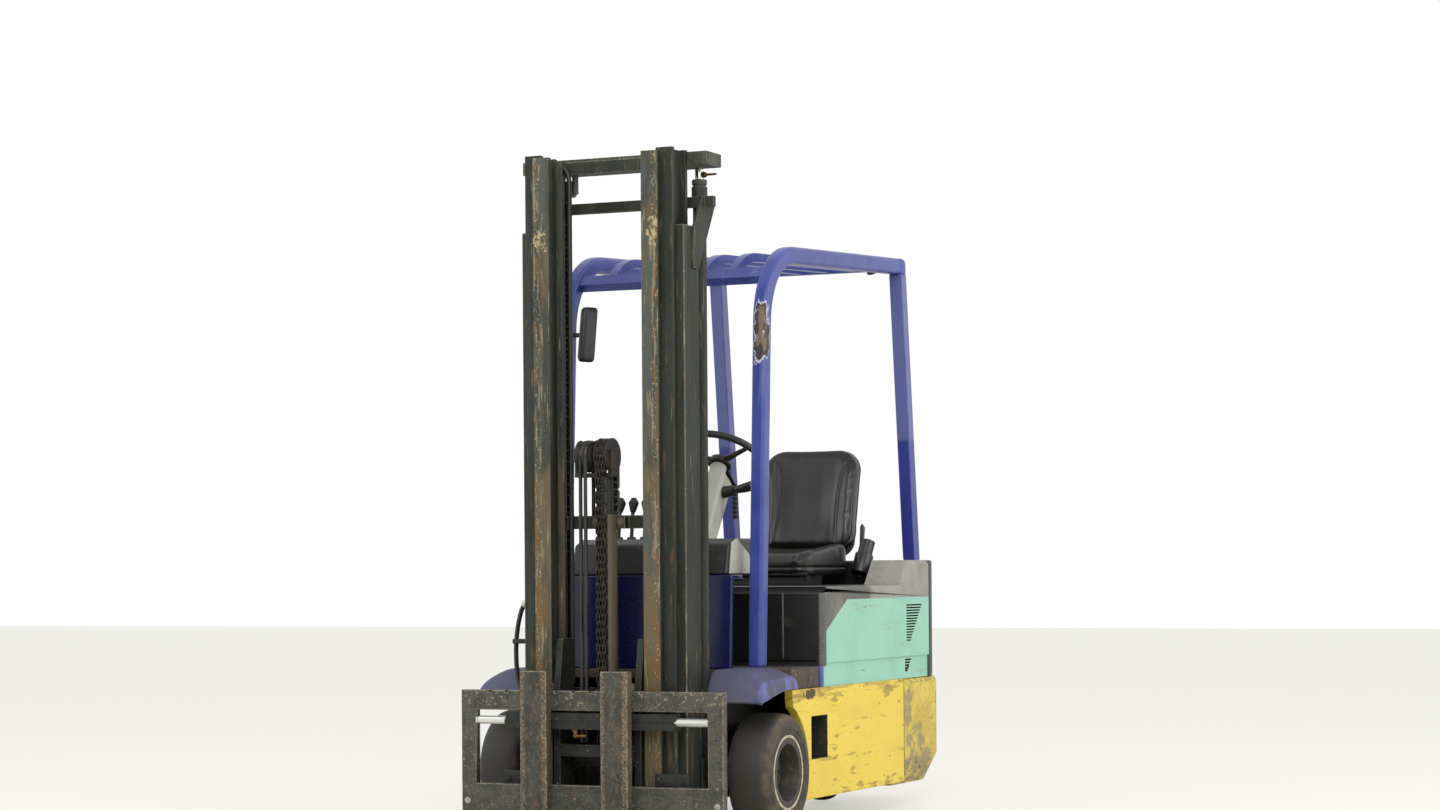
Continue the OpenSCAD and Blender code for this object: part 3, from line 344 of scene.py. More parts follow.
# solid rubber, worn smooth: dull black, brown dust on the shoulders
def makeTyreRubber(name, centreY, centreZ, ring):
    finish, tree, place = startMaterial(name)
    away = addNode(tree, "VectorMath", {0: place, 1: at(0, centreY, centreZ)}, operation="SUBTRACT")
    flat = addNode(tree, "VectorMath", {0: away, 1: (0, 1, 1)}, operation="MULTIPLY")
    radius = addNode(tree, "VectorMath", {0: flat}, out="Value", operation="LENGTH")
    dirt = addNode(tree, "TexNoise", {"Vector": place, "Scale": 1000 / 45, "Detail": 6.0, "Roughness": 0.65})
    grit = addNode(tree, "TexNoise", {"Vector": place, "Scale": 1000 / 5, "Detail": 3.0})
    turns = addNode(tree, "Math", {0: radius, 1: 420.0}, operation="MULTIPLY")
    waves = addNode(tree, "Math", {0: turns}, operation="SINE")
    side = addNode(tree, "MapRange", {"Value": radius, "From Min": ring[0], "From Max": ring[1], "To Min": 0.75})
    tread = addNode(tree, "MapRange", {"Value": radius, "From Min": ring[1] - 0.012, "From Max": ring[1] - 0.002,
                                       "To Min": 1.0, "To Max": 0.55})
    edge = addNode(tree, "Math", {0: side, 1: tread}, operation="MULTIPLY")
    spread = addNode(tree, "Math", {0: edge, 1: dirt}, operation="MULTIPLY")
    dusty = addNode(tree, "MapRange", {"Value": spread, "From Min": 0.32, "From Max": 0.62, "To Max": 0.85},
                    interpolation_type="SMOOTHSTEP")
    colour = addNode(tree, "Mix", {0: dirt, 6: linear("25241f"), 7: linear("35322a")}, out=2, data_type="RGBA")
    colour = addNode(tree, "Mix", {0: dusty, 6: colour, 7: linear("5b4d39")}, out=2, data_type="RGBA")
    height = addNode(tree, "Math", {0: waves, 1: 0.15, 2: grit}, operation="MULTIPLY_ADD")
    bump = addNode(tree, "Bump", {"Strength": 0.4, "Distance": 0.001, "Height": height})
    shader = addNode(tree, "BsdfPrincipled", {"Base Color": colour, "Roughness": 0.64, "Normal": bump})
    addNode(tree, "OutputMaterial", {"Surface": shader})
    return finish


materials["seatVinyl"] = makeVinyl()
materials["tyreRubber"] = makeTyreRubber("tyreRubber", 0, 198, (0.12, 0.2))
materials["steerRubber"] = makeTyreRubber("steerRubber", 1310, 190, (0.11, 0.19))
print("stage: finishes made,", len(materials))


def clearAll():
    if bpy.context.object and bpy.context.object.mode != "OBJECT":
        bpy.ops.object.mode_set(mode="OBJECT")
    bpy.ops.object.select_all(action="DESELECT")


def pick(piece):
    clearAll()
    piece.select_set(True)
    bpy.context.view_layer.objects.active = piece
    return piece


def settleMesh(piece):  # its place goes into its mesh
    pick(piece)
    bpy.ops.object.transform_apply(location=True, rotation=True, scale=True)
    return piece


def inEdit(piece, *steps):  # each step is an operator and its settings, on all that is selected
    pick(piece)
    bpy.ops.object.mode_set(mode="EDIT")
    bpy.ops.mesh.select_all(action="SELECT")
    for step, settings in steps:
        step(**settings)
    bpy.ops.object.mode_set(mode="OBJECT")
    return piece


def onSelected(piece, step, **settings):  # one operator, on what is selected already
    pick(piece)
    bpy.ops.object.mode_set(mode="EDIT")
    step(**settings)
    bpy.ops.object.mode_set(mode="OBJECT")


outward = [(bpy.ops.mesh.select_all, {"action": "SELECT"}), (bpy.ops.mesh.normals_make_consistent, {"inside": False})]


def startBlock(low, high):
    clearAll()
    a, b = at(*low), at(*high)
    bpy.ops.mesh.primitive_cube_add(size=1, location=(a + b) / 2)
    bpy.context.object.scale = b - a
    return settleMesh(bpy.context.object)


def startRod(a, b, radius, sides=24, endRadius=None):
    clearAll()
    a, b = at(*a), at(*b)
    bpy.ops.mesh.primitive_cone_add(vertices=sides, radius1=radius / 1000,
                                    radius2=(radius if endRadius is None else endRadius) / 1000,
                                    depth=(b - a).length, location=(a + b) / 2,
                                    rotation=(b - a).to_track_quat("Z", "Y").to_euler())
    return settleMesh(bpy.context.object)


def startPlate(points, x0, x1):  # outline over Y and Z, thick along X
    clearAll()
    bpy.ops.mesh.primitive_circle_add(vertices=len(points), fill_type="NGON")
    piece = bpy.context.object
    for vert, (y, z) in zip(piece.data.vertices, points):
        vert.co = at(x0, y, z)
    return inEdit(piece, (bpy.ops.mesh.extrude_region_move,
                          {"TRANSFORM_OT_translate": {"value": ((x1 - x0) / 1000, 0, 0)}}), *outward)


def startTurned(profile, centre, steps=72):  # closed profile of radius and distance along X, spun about X
    clearAll()
    bpy.ops.mesh.primitive_circle_add(vertices=len(profile), fill_type="NOTHING")
    piece = bpy.context.object
    for vert, (radius, along) in zip(piece.data.vertices, profile):
        vert.co = at(centre[0] + along, centre[1], centre[2] + radius)
    return inEdit(piece, (bpy.ops.mesh.spin, {"steps": steps, "angle": 2 * math.pi, "center": at(*centre),
                                              "axis": (1, 0, 0)}),
                  (bpy.ops.mesh.select_all, {"action": "SELECT"}),
                  (bpy.ops.mesh.remove_doubles, {"threshold": 1e-5}),
                  (bpy.ops.mesh.dissolve_degenerate, {"threshold": 1e-6}),
                  (bpy.ops.mesh.delete_loose, {}), *outward)


def startTube(points, radius, sides=10, smooth=True):  # a hose or bent bar along a line of points
    clearAll()
    bpy.ops.curve.primitive_nurbs_path_add()
    piece = bpy.context.object
    line = piece.data
    line.splines.clear()
    run = line.splines.new("NURBS" if smooth else "POLY")
    run.points.add(len(points) - 1)
    for point, place in zip(run.points, points):
        point.co = (*at(*place), 1)
    if smooth:
        run.use_endpoint_u = True
        run.order_u = 4
    line.resolution_u = 6
    line.dimensions = "3D"
    line.bevel_depth = radius / 1000
    line.bevel_resolution = max(1, sides // 4 - 1)
    line.use_fill_caps = True
    pick(piece)
    bpy.ops.object.convert(target="MESH")
    return settleMesh(bpy.context.object)


def applied(piece, kind, **settings):
    pick(piece)
    step = piece.modifiers.new("shape", kind)
    for key, value in settings.items():
        setattr(step, key, value)
    bpy.ops.object.modifier_apply(modifier="shape")
    return piece


def rounded(piece, width, segments=2, angle=35, edge=-1):
    return applied(piece, "BEVEL", width=width / 1000, segments=segments, limit_method="ANGLE",
                   angle_limit=math.radians(angle), material=edge)


def softenEdges(piece, width, segments, test):  # bevels the edges whose two ends pass the test, in mm from the axle
    points = [v.co * 1000 - Vector((0, axleY, 0)) for v in piece.data.vertices]
    inEdit(piece, (bpy.ops.mesh.select_mode, {"type": "EDGE"}), (bpy.ops.mesh.select_all, {"action": "DESELECT"}))
    for edge in piece.data.edges:
        edge.select = test(*[points[i] for i in edge.vertices])
    onSelected(piece, bpy.ops.mesh.bevel, offset=width / 1000, segments=segments, affect="EDGES", material=1)


def smoothLine(points, steps=5):  # a dense smooth line through a few points
    line = []
    ends = [points[0], *points, points[-1]]
    for a, b, c, d in zip(ends, ends[1:], ends[2:], ends[3:]):
        for k in range(steps):
            t = k / steps
            line.append(tuple(0.5 * (2 * q + (r - p) * t + (2 * p - 5 * q + 4 * r - s) * t * t
                                     + (3 * q - p - 3 * r + s) * t ** 3) for p, q, r, s in zip(a, b, c, d)))
    return line + [tuple(points[-1])]


def joined(pieces):
    clearAll()
    for piece in pieces:
        piece.select_set(True)
    bpy.context.view_layer.objects.active = pieces[0]
    if len(pieces) > 1:
        bpy.ops.object.join()
    return bpy.context.view_layer.objects.active


def finished(piece, name, body, finish, stands=(), edge=None, angle=40):
    pick(piece)
    piece.name = name
    piece.data.name = name
    if len(piece.data.materials) == 0:
        for which in [finish] + ([edge] if edge else []):
            piece.data.materials.append(materials[which])
    bpy.ops.object.shade_smooth_by_angle(angle=math.radians(angle))
    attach(piece, body)
    if stands:
        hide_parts(*stands)
    return piece


def paintFaces(piece, index, test):
    for face in piece.data.polygons:
        if test(face.center * 1000 - Vector((0, axleY, 0)), face.normal):
            face.material_index = index


def dressed(node, name, finish, edge, width, segments=2, angle=40, extra=(), shape=None):
    solid = nodes[node]
    pick(solid)
    bpy.ops.object.duplicate()
    piece = bpy.context.object
    piece.parent = None
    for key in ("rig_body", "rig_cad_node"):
        del piece[key]
    piece.data.materials.clear()
    for which in [finish, edge, *extra]:
        piece.data.materials.append(materials[which])
    inEdit(piece, (bpy.ops.mesh.remove_doubles, {"threshold": 1e-5}),
           (bpy.ops.mesh.dissolve_limited, {"angle_limit": math.radians(0.6)}))
    if shape:
        shape(piece)
    if width:
        rounded(piece, width, segments, angle, 1)
    finished(piece, name, solid["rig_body"], finish, (node,), angle=42)
    applied(piece, "WEIGHTED_NORMAL", keep_sharp=True, weight=60)
    return piece


# solids whose shape is right: a merged copy with softened edges and the real finish, which on most of the mast's
# rails, ties and barrels is the enamel painted darker as painted shade
dressing = {
    "front_axle": ("driveAxle", "castIron", "castIron", "cast_dark", 4),
    "battery": ("batteryBlock", "trayEnamel", "trayEnamel", "battery_case", 6),
    "counterweight": ("rearWeight", "wornCasting", "yellowEdge", "yellow_paint", 7),
    "tow_clevis": ("towClevis", "castIron", "castIron", "cast_dark", 3),
    "floor_plate": ("floorPlate", "floorRubber", "floorRubber", "floor_rubber", 5),
    "cowl": ("frontCowl", "deepEnamel", "deepEnamel", "deep_blue_paint", 7),
    "dash": ("dashBody", "blackAbs", "blackAbs", "dark_plastic", 9),
    "column": ("steeringColumn", "paleAbs", "paleAbs", "grey_plastic", 7),
    "seat_base": ("seatRails", "blackAbs", "blackAbs", "dark_plastic", 3),
    "guard_tubes": ("guardTubes", "blueEnamel", "blueEnamel", "blue_paint", 13),
    "guard_rear_posts": ("guardRearPosts", "postEnamel", "blueEdge", "blue_paint", 4),
    "roof_grille": ("guardRoofBars", "blueEnamel", "blueEdge", "blue_paint", 6),
    # painted shade: the outer and middle rails, their ties, the lift barrels and the inner ties take the mast enamel
    # painted darker
    "outer_rails": ("outerMastRails", "mastEnamelPaintedShade", "mastEdge", "mast_steel", 4),
    "outer_ties": ("outerMastTies", "mastEnamelPaintedShade", "mastEdge", "mast_steel", 3),
    "lift_barrels": ("liftBarrels", "mastEnamelPaintedShade", "mastEdge", "mast_steel", 2),
    "middle_rails": ("middleMastRails", "mastEnamelPaintedShade", "mastEdge", "mast_steel", 4),
    "middle_ties": ("middleMastTies", "mastEnamel", "mastEdge", "mast_steel", 3),
    "lift_rods": ("liftRods", "rodChrome", "rodChrome", "rod_chrome", 1),
    "inner_ties": ("innerMastTies", "mastEnamelPaintedShade", "mastEdge", "mast_steel", 3),
    "free_barrel": ("freeLiftBarrel", "oiledTube", "oiledTube", "mast_steel", 2),
    "free_head": ("freeLiftHead", "castIron", "castIron", "cast_dark", 2),
    "carriage_frame": ("rollerCarriage", "blockEnamel", "mastEdge", "mast_steel", 3),
    "shift_barrel": ("shiftCylinder", "blockEnamel", "blockEnamel", "mast_steel", 3),
    "left_fork": ("leftFork", "forgedSteel", "forgedRim", "fork_steel", 4),
    "right_fork": ("rightFork", "forgedSteel", "forgedRim", "fork_steel", 4),
    "tilt_barrels": ("tiltBarrels", "castIron", "castIron", "cast_dark", 2),
    "tilt_rods": ("tiltRods", "rodChrome", "rodChrome", "rod_chrome", 1),
    "steer_yoke": ("steerYoke", "castIron", "castIron", "cast_dark", 3),
    "rear_rims": ("steerRims", "rimSteel", "rimSteel", "rim_steel", 2),
}
for node, (name, finish, edge, slot, width) in dressing.items():
    dressed(node, name, finish, edge, width, segments=4 if width > 10 else 2)

shiftRods = dict(y=-390, z=381, reach=16, end=426)
# painted shade: the inner rails' side and rear faces take the mast enamel painted darker
innerRails = dressed("inner_rails", "innerMastRails", "mastEnamel", "mastEdge", 5, extra=["mastEnamelPaintedShade"])
paintFaces(innerRails, 2, lambda c, n: abs(n.x) > 0.6 or n.y > 0.6)
shiftFrame = dressed("shift_frame", "sideShiftFrame", "carriagePlate", "forgedRim", 3,
                     extra=["oiledChrome"])
paintFaces(shiftFrame, 2, lambda c, n: abs(c.z - shiftRods["z"]) < shiftRods["reach"]
           and abs(c.y - shiftRods["y"]) < shiftRods["reach"] and abs(c.x) < shiftRods["end"])

# frame: yellow outside, dark where the drive and the mast feet are
mainFrame = dressed("main_frame", "mainFrame", "yellowEnamel", "yellowEdge", 4, extra=["castIron"])
darkZone = dict(inside=476, flank=486, front=380)
paintFaces(mainFrame, 2, lambda c, n: abs(c.x) < darkZone["inside"]
           or (abs(n.x) < 0.6 and abs(c.x) < darkZone["flank"] and c.y < darkZone["front"]))

# pressed fenders: flat top round the post, sloping flank, rolled lip that rises over the tyre
fender = dict(inner=337, outer=538, thick=9,
              rows=[(-223, 441.5, 441), (-216, 452, 441), (-205, 486, 441.5), (-190, 519, 443), (-172, 536, 447),
                    (-150, 544, 452), (-105, 545, 461), (-50, 545, 470), (10, 545, 476), (60, 545, 477),
                    (90, 545, 473)],
              across=[(0.0, 1.0), (0.25, 1.0), (0.42, 1.0), (0.5, 0.985), (0.66, 0.86), (0.86, 0.62), (0.925, 0.5),
                      (0.955, 0.38), (0.975, 0.2), (0.99, 0.06), (1.0, 0.0)])
flanks = []
for side in (1, -1):
    clearAll()
    bpy.ops.mesh.primitive_grid_add(x_subdivisions=len(fender["across"]) - 1,
                                    y_subdivisions=len(fender["rows"]) - 1, size=1)
    flank = bpy.context.object
    index = 0
    for y, top, lip in fender["rows"]:
        for share, rise in fender["across"]:
            x = fender["inner"] + share * (fender["outer"] - fender["inner"])
            flank.data.vertices[index].co = at(side * x, y, lip + rise * (top - lip))
            index += 1
    inEdit(flank, (bpy.ops.mesh.normals_make_consistent, {"inside": False}))
    if sum(face.normal.z * face.area for face in flank.data.polygons) < 0:
        flank.data.flip_normals()
    applied(flank, "SUBSURF", levels=2, render_levels=2)
    applied(flank, "SOLIDIFY", thickness=fender["thick"] / 1000, offset=-1)
    flanks.append(rounded(flank, 2.5, 2, 50))
finished(joined(flanks), "wheelFenders", "chassis", "dustyEnamelLipHighlight", ["fenders"], angle=60)

# hood shell: black front and deck, grey flanks and shoulders with a wide soft corner
hoodCorner = dict(side=508, front=380.5, corner=19, shoulder=22, wall=262, inner=356)


def softHood(piece):
    for vert in piece.data.vertices:  # the shoulders' inner walls move out
        if abs(abs(vert.co.x) * 1000 - hoodCorner["wall"]) < 2:
            vert.co.x = math.copysign(hoodCorner["inner"] / 1000, vert.co.x)
    softenEdges(piece, hoodCorner["corner"], 5, lambda a, b: min(abs(a.x), abs(b.x)) > hoodCorner["side"]
                and max(a.y, b.y) < hoodCorner["front"] and abs(a.z - b.z) > 60)
    softenEdges(piece, hoodCorner["shoulder"], 4, lambda a, b: min(abs(a.x), abs(b.x)) > hoodCorner["side"]
                and min(a.z, b.z) > 780 and max(a.y, b.y) > 395 and (a - b).length > 25)


hoodShell = dressed("hood", "hoodShell", "blackAbs", "greyAbs", 4, extra=["greyAbs"], shape=softHood)
paintFaces(hoodShell, 2, lambda c, n: abs(n.x) > 0.6 or (c.z > 818 and n.z > 0.3))
sidePanels = dressed("side_panels", "sidePanels", "tealEnamel", "tealEnamel", 1.2, extra=["blackAbs"])
# painted shade: the louvre slots' faces behind the skin are painted black ABS for the shade inside the slots
louvreShadeZone = dict(front=1120, rear=1395, low=485, high=757, skin=508.6)
paintFaces(sidePanels, 2, lambda c, n: louvreShadeZone["front"] < c.y < louvreShadeZone["rear"]
           and louvreShadeZone["low"] < c.z < louvreShadeZone["high"] and abs(c.x) < louvreShadeZone["skin"])
rearCover = dressed("rear_cover", "rearCover", "blackAbs", "trimEnamel", 8, extra=["greyAbs"])
paintFaces(rearCover, 2, lambda c, n: n.z > 0.7)
print("stage: solids dressed,", len(dressing) + 6)

# front wheels
wheel = dict(tyre=198, width=152, rim=124, axle=198, side=464, bore=105, hub=41, nuts=56)


def tyreOutline(radius, width, bore, flange):  # one half, as radius and distance in from the side, and its mirror
    half = width / 2
    side = [(bore, 13), (flange, 13), (flange + 3, 5), (flange + 10, 2), (flange + 20, 3), (flange + 24, 0),
            (radius - 40, 0), (radius - 36, 3), (radius - 24, 3), (radius - 14, 7), (radius - 6, 15),
            (radius - 2, 26), (radius, 40)]
    return [(r, inset - half) for r, inset in side] + [(r, half - inset) for r, inset in reversed(side)]


def rimOutline(width, bore, flange, hub):
    half = width / 2 - 13
    return [(hub, -34), (hub + 26, -34), (hub + 26, -20), (bore - 9, -20), (bore - 9, -half - 7), (flange, -half - 7),
            (flange, -half), (bore, -half), (bore, half), (flange, half), (flange, half + 7), (bore - 9, half + 7),
            (bore - 9, -6), (hub + 34, -6), (hub + 26, 14), (hub, 14)]


for side, word in ((1, "Left"), (-1, "Right")):
    lower = word.lower()
    body = "wheel_" + lower
    centre = (side * wheel["side"], 0, wheel["axle"])
    tyre = startTurned(tyreOutline(wheel["tyre"], wheel["width"], wheel["bore"], wheel["rim"]), centre, 96)
    finished(tyre, "front" + word + "Tyre", body, "tyreRubber", ["front_%s_tyre" % lower], angle=35)
    disc = rimOutline(wheel["width"], wheel["bore"], wheel["rim"], wheel["hub"])
    disc = startTurned([(r, side * a) for r, a in disc], centre)
    finished(rounded(disc, 1.5), "front" + word + "Rim", body, "rimSteel", ["front_%s_rim" % lower])
    lip = startTurned([(wheel["rim"] - 5, side * 66), (wheel["rim"] + 1, side * 66), (wheel["rim"] + 2, side * 71),
                       (wheel["rim"] - 2, side * 73), (wheel["rim"] - 7, side * 71)], centre, 96)
    finished(lip, "front" + word + "RimLip", body, "rimLip", angle=60)
    nuts = []
    for step in range(6):
        a = step * math.pi / 3
        y, z = wheel["nuts"] * math.cos(a), wheel["axle"] + wheel["nuts"] * math.sin(a)
        nuts.append(rounded(startRod((side * 452, y, z), (side * 474, y, z), 10, 6), 1.5))
        nuts.append(startRod((side * 470, y, z), (side * 482, y, z), 5.5, 12, 4.5))
    finished(joined(nuts), "front" + word + "WheelNuts", body, "castIron")
steer = dict(tyre=190, width=104, bore=92, centre=115, y=1310, z=190)
twins = [startTurned(tyreOutline(steer["tyre"], steer["width"], steer["bore"], steer["bore"] + 16),
                     (s * steer["centre"], steer["y"], steer["z"]), 72) for s in (1, -1)]
finished(joined(twins), "steerTyres", "rear_wheels", "steerRubber", ["rear_tyres"], angle=35)
print("stage: wheels")

# leaf chains: plates laced in turn on pins, one pair of pitches repeated by an array
freeChain = dict(x=0, front=-310, rear=-214, width=36, pitch=25.4, plate=19, low=300, keep=0.24, sheave=1256,
                 axle=-262, anchor=1061)
liftChain = dict(x=200, y=-172, width=28, pitch=19.05, plate=16, low=190, high=2167, keep=0.292)


def linkPlate(x, y, z, pitch, plate, thick):
    link = startRod((x - thick / 2, y, z), (x + thick / 2, y, z), plate / 2, 10)
    for vert in link.data.vertices:  # drawn out over the pitch
        vert.co.z += math.copysign(pitch / 2000, vert.co.z - z / 1000) if abs(vert.co.z - z / 1000) > 1e-5 else 0
    return link


def chainPair(x, y, z, look):
    pitch, width = look["pitch"], look["width"]
    made = [linkPlate(x + s * width * k, y, z + pitch / 2, pitch, look["plate"], 3.4)
            for s, k in ((1, 0.44), (-1, 0.44), (1, 0.16), (-1, 0.16))]
    made += [linkPlate(x + s * width * 0.3, y, z + pitch * 1.5, pitch, look["plate"], 3.4) for s in (1, -1)]
    made += [linkPlate(x, y, z + pitch * 1.5, pitch, look["plate"], 3.4)]
    made += [startRod((x - width / 2, y, z + pitch * k), (x + width / 2, y, z + pitch * k), look["plate"] * 0.27, 8)
             for k in (0, 1)]
    return joined(made)


def chainRun(x, y, low, high, look):
    count = max(1, round((high - low) / (2 * look["pitch"])))
    fitted = dict(look, pitch=(high - low) / (2 * count))
    run = chainPair(x, y, low, fitted)
    return applied(run, "ARRAY", count=count, use_relative_offset=False, use_constant_offset=True,
                   constant_offset_displace=(0, 0, 2 * fitted["pitch"] / 1000))


frontRun = chainRun(freeChain["x"], freeChain["front"], freeChain["low"], freeChain["sheave"], freeChain)
finished(frontRun, "freeChainFront", "lift_head", "chainSteel", ["free_chain"])
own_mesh(frontRun)
wrapped = []
for step in range(6):
    bend = chainPair(0, freeChain["front"], freeChain["sheave"] - 12, dict(freeChain, pitch=13))
    pivot = Matrix.Translation(at(0, freeChain["axle"], freeChain["sheave"]))
    turnBack = Matrix.Rotation(-math.radians(15 + 30 * step), 4, "X")
    bend.data.transform(pivot @ turnBack @ pivot.inverted())
    wrapped.append(bend)
finished(joined(wrapped), "freeChainWrap", "lift_head", "chainSteel")
rearRun = chainRun(freeChain["x"], freeChain["rear"], freeChain["anchor"], freeChain["sheave"], freeChain)
rearRun.name = "freeChainRear"
rearRun.data.materials.append(materials["chainSteel"])
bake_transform(rearRun)
for side, word in ((1, "Left"), (-1, "Right")):
    run = chainRun(side * liftChain["x"], liftChain["y"], liftChain["low"], liftChain["high"], liftChain)
    finished(run, "liftChain" + word, "middle_mast", "chainSteel", ["lift_chains"])
    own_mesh(run)
print("stage: chains")

# hoses: one tall line on the inner stage, two over the hose wheel, one loop outside the right rail
hose = dict(tallX=-150, tallY=-232, tallLow=500, tallHigh=2160, tall=9, wheel=7, loop=8, turn=47, rear=-215, drop=950,
            rearLow=1040)


def hoseRun(points, radius, name, body, stands=(), sides=10):
    run = startTube(points, radius, sides, smooth=False)
    return finished(run, name, body, "hoseRubber", stands, angle=60)


tallPath = [(hose["tallX"], hose["tallY"], hose["tallLow"] + (hose["tallHigh"] - hose["tallLow"]) * k / 20)
            for k in range(21)]
tallPath += smoothLine([(hose["tallX"] + x, hose["tallY"], hose["tallHigh"] + z)
                        for x, z in ((0, 0), (-1, 25), (-7, 48), (-18, 64), (-32, 70))])[1:]
tallHose = hoseRun(tallPath, hose["tall"], "tallMastHose", "inner_mast", ["mast_hose"], 12)
for index, x in ((1, -58), (2, -76)):
    drop = [(x, freeChain["front"], freeChain["sheave"] - hose["drop"] * k / 16) for k in range(17)]
    fall = hoseRun(drop, hose["wheel"], "wheelHoseFront%d" % index, "lift_head")
    angles = [k * math.pi / 12 for k in range(13)]
    over = [(x, freeChain["axle"] - hose["turn"] * math.cos(a), freeChain["sheave"] + hose["turn"] * math.sin(a))
            for a in angles]
    cap = hoseRun(over, hose["wheel"], "wheelHoseOver%d" % index, "lift_head")
    climb = freeChain["sheave"] - hose["rearLow"]
    behind = startTube([(x, hose["rear"], hose["rearLow"] + climb * k / 6) for k in range(7)], hose["wheel"], 10,
                       smooth=False)
    behind.name = "wheelHoseRear%d" % index
    behind.data.materials.append(materials["hoseRubber"])
    pick(behind)
    bpy.ops.object.shade_smooth_by_angle(angle=math.radians(60))
    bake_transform(behind)
    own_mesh(fall)
loopPath = smoothLine([(-299, -268, 772), (-312, -270, 762), (-324, -272, 735), (-334, -274, 690), (-340, -275, 640),
                       (-341, -275, 590), (-338, -275, 540), (-331, -274, 500), (-321, -272, 466), (-309, -270, 442),
                       (-297, -268, 430)])
loopHose = hoseRun(loopPath, hose["loop"], "railHoseLoop", "outer_mast")
clip = rounded(startBlock((-350, -287, 632), (-300, -263, 648)), 3)
finished(clip, "railHoseClip", "outer_mast", "blockEnamel")
ferrules = [rounded(startRod((-300, -268, 772), (-315, -270, 757), 12, 16), 2),
            rounded(startRod((-298, -268, 431), (-312, -271, 450), 12, 16), 2)]
finished(joined(ferrules), "railHoseFerrules", "outer_mast", "boltZinc")
print("stage: hoses")


# seat: foam pads blown up by cloth pressure, then the bolsters raised and the sewn channels pressed in
seat = dict(half=206, wider=8, cushion=(970, 1388), cushionLow=852, cushionDeep=70, back=(946, 1338), backDeep=50,
            footY=1410, shellY=1452, lean=math.tan(math.radians(13.2)), foot=0.912, voxel=0.006, cap=0.010, seam=4.0)


def padOutline(half, low, high, lowCorner, highCorner, steps=9):  # a rounded outline, half wide, from low to high
    line = []
    for cx, cy, corner, begin in ((half - lowCorner, low + lowCorner, lowCorner, -90),
                                  (half - highCorner, high - highCorner, highCorner, 0),
                                  (highCorner - half, high - highCorner, highCorner, 90),
                                  (lowCorner - half, low + lowCorner, lowCorner, 180)):
        for k in range(steps):
            a = math.radians(begin + 90 * k / (steps - 1))
            line.append((cx + corner * math.cos(a), cy + corner * math.sin(a)))
    return line


def padded(piece, cap):
    piece.data.remesh_voxel_size = seat["voxel"]
    pick(piece)
    bpy.ops.object.voxel_remesh()
    applied(piece, "SMOOTH", factor=0.5, iterations=14)
    before = [v.co.copy() for v in piece.data.vertices]
    cloth = piece.modifiers.new("puff", "CLOTH")
    cloth.settings.use_pressure = True
    cloth.settings.uniform_pressure_force = 4
    cloth.settings.effector_weights.gravity = 0
    cloth.settings.quality = 4
    for step in range(1, 21):
        bpy.context.scene.frame_set(step)
    pick(piece)
    bpy.ops.object.modifier_apply(modifier="puff")
    bpy.context.scene.frame_set(1)
    for vert, start in zip(piece.data.vertices, before):
        move = vert.co - start
        if move.length > cap:
            vert.co = start + move * (cap / move.length)
    applied(piece, "SMOOTH", factor=0.5, iterations=6)
    applied(piece, "SUBSURF", levels=1, render_levels=1)
    return piece


# lines is a function of a point that gives its distance from a seam, in metres
def pressSeams(piece, lines, depth, reach=0.006):
    for vert in piece.data.vertices:
        gap = lines(vert.co)
        if gap < 3 * reach:
            vert.co -= vert.normal * (depth / 1000) * math.exp(-(gap / reach) ** 2)


def eased(value, start, full):
    share = max(0.0, min(1.0, (value - start) / (full - start)))
    return share * share * (3 - 2 * share)


def turned(piece, place):  # a plate's thickness, width and height go where place puts them
    for vert in piece.data.vertices:
        vert.co = place(vert.co.x, vert.co.y - axleY / 1000, vert.co.z)
    piece.data.flip_normals()


cushion = startPlate(padOutline(seat["half"] + seat["wider"], *seat["cushion"], 70, 46), 0, seat["cushionDeep"])
turned(cushion, lambda deep, across, along: (across, along + axleY / 1000, deep + seat["cushionLow"] / 1000))
padded(cushion, seat["cap"])
for vert in cushion.data.vertices:  # side bolsters, a dip where one sits, a rolled front
    y, z, across = vert.co.y * 1000 - axleY, vert.co.z * 1000, abs(vert.co.x) * 1000
    top = eased(z, 895, 925)
    vert.co.z += top * (0.014 * eased(across, 120, 185) * eased(y, 980, 1060)
                        - 0.010 * math.exp(-((y - 1230) / 140) ** 2) * (1 - eased(across, 60, 170))
                        - 0.024 * (1 - eased(y, 960, 1040)) ** 2)
    if z < 890:
        vert.co.z += 0.014 * (1 - eased(y, 965, 1020))
    vert.co.z += 0.026 * top * eased(y, 1000, 1380)  # it slopes up to the backrest
cushion.data.update()
pressSeams(cushion, lambda c: min(abs(abs(c.x) - 0.146) if c.z > 0.9 else 1, abs(c.y * 1000 - axleY - 1022) / 1000
                                  if c.z > 0.9 and abs(c.x) < 0.146 else 1, abs(c.z - 0.88) * 1.4), seat["seam"])
finished(cushion, "seatCushion", "chassis", "seatVinyl", ["seat_cushion"], angle=80)

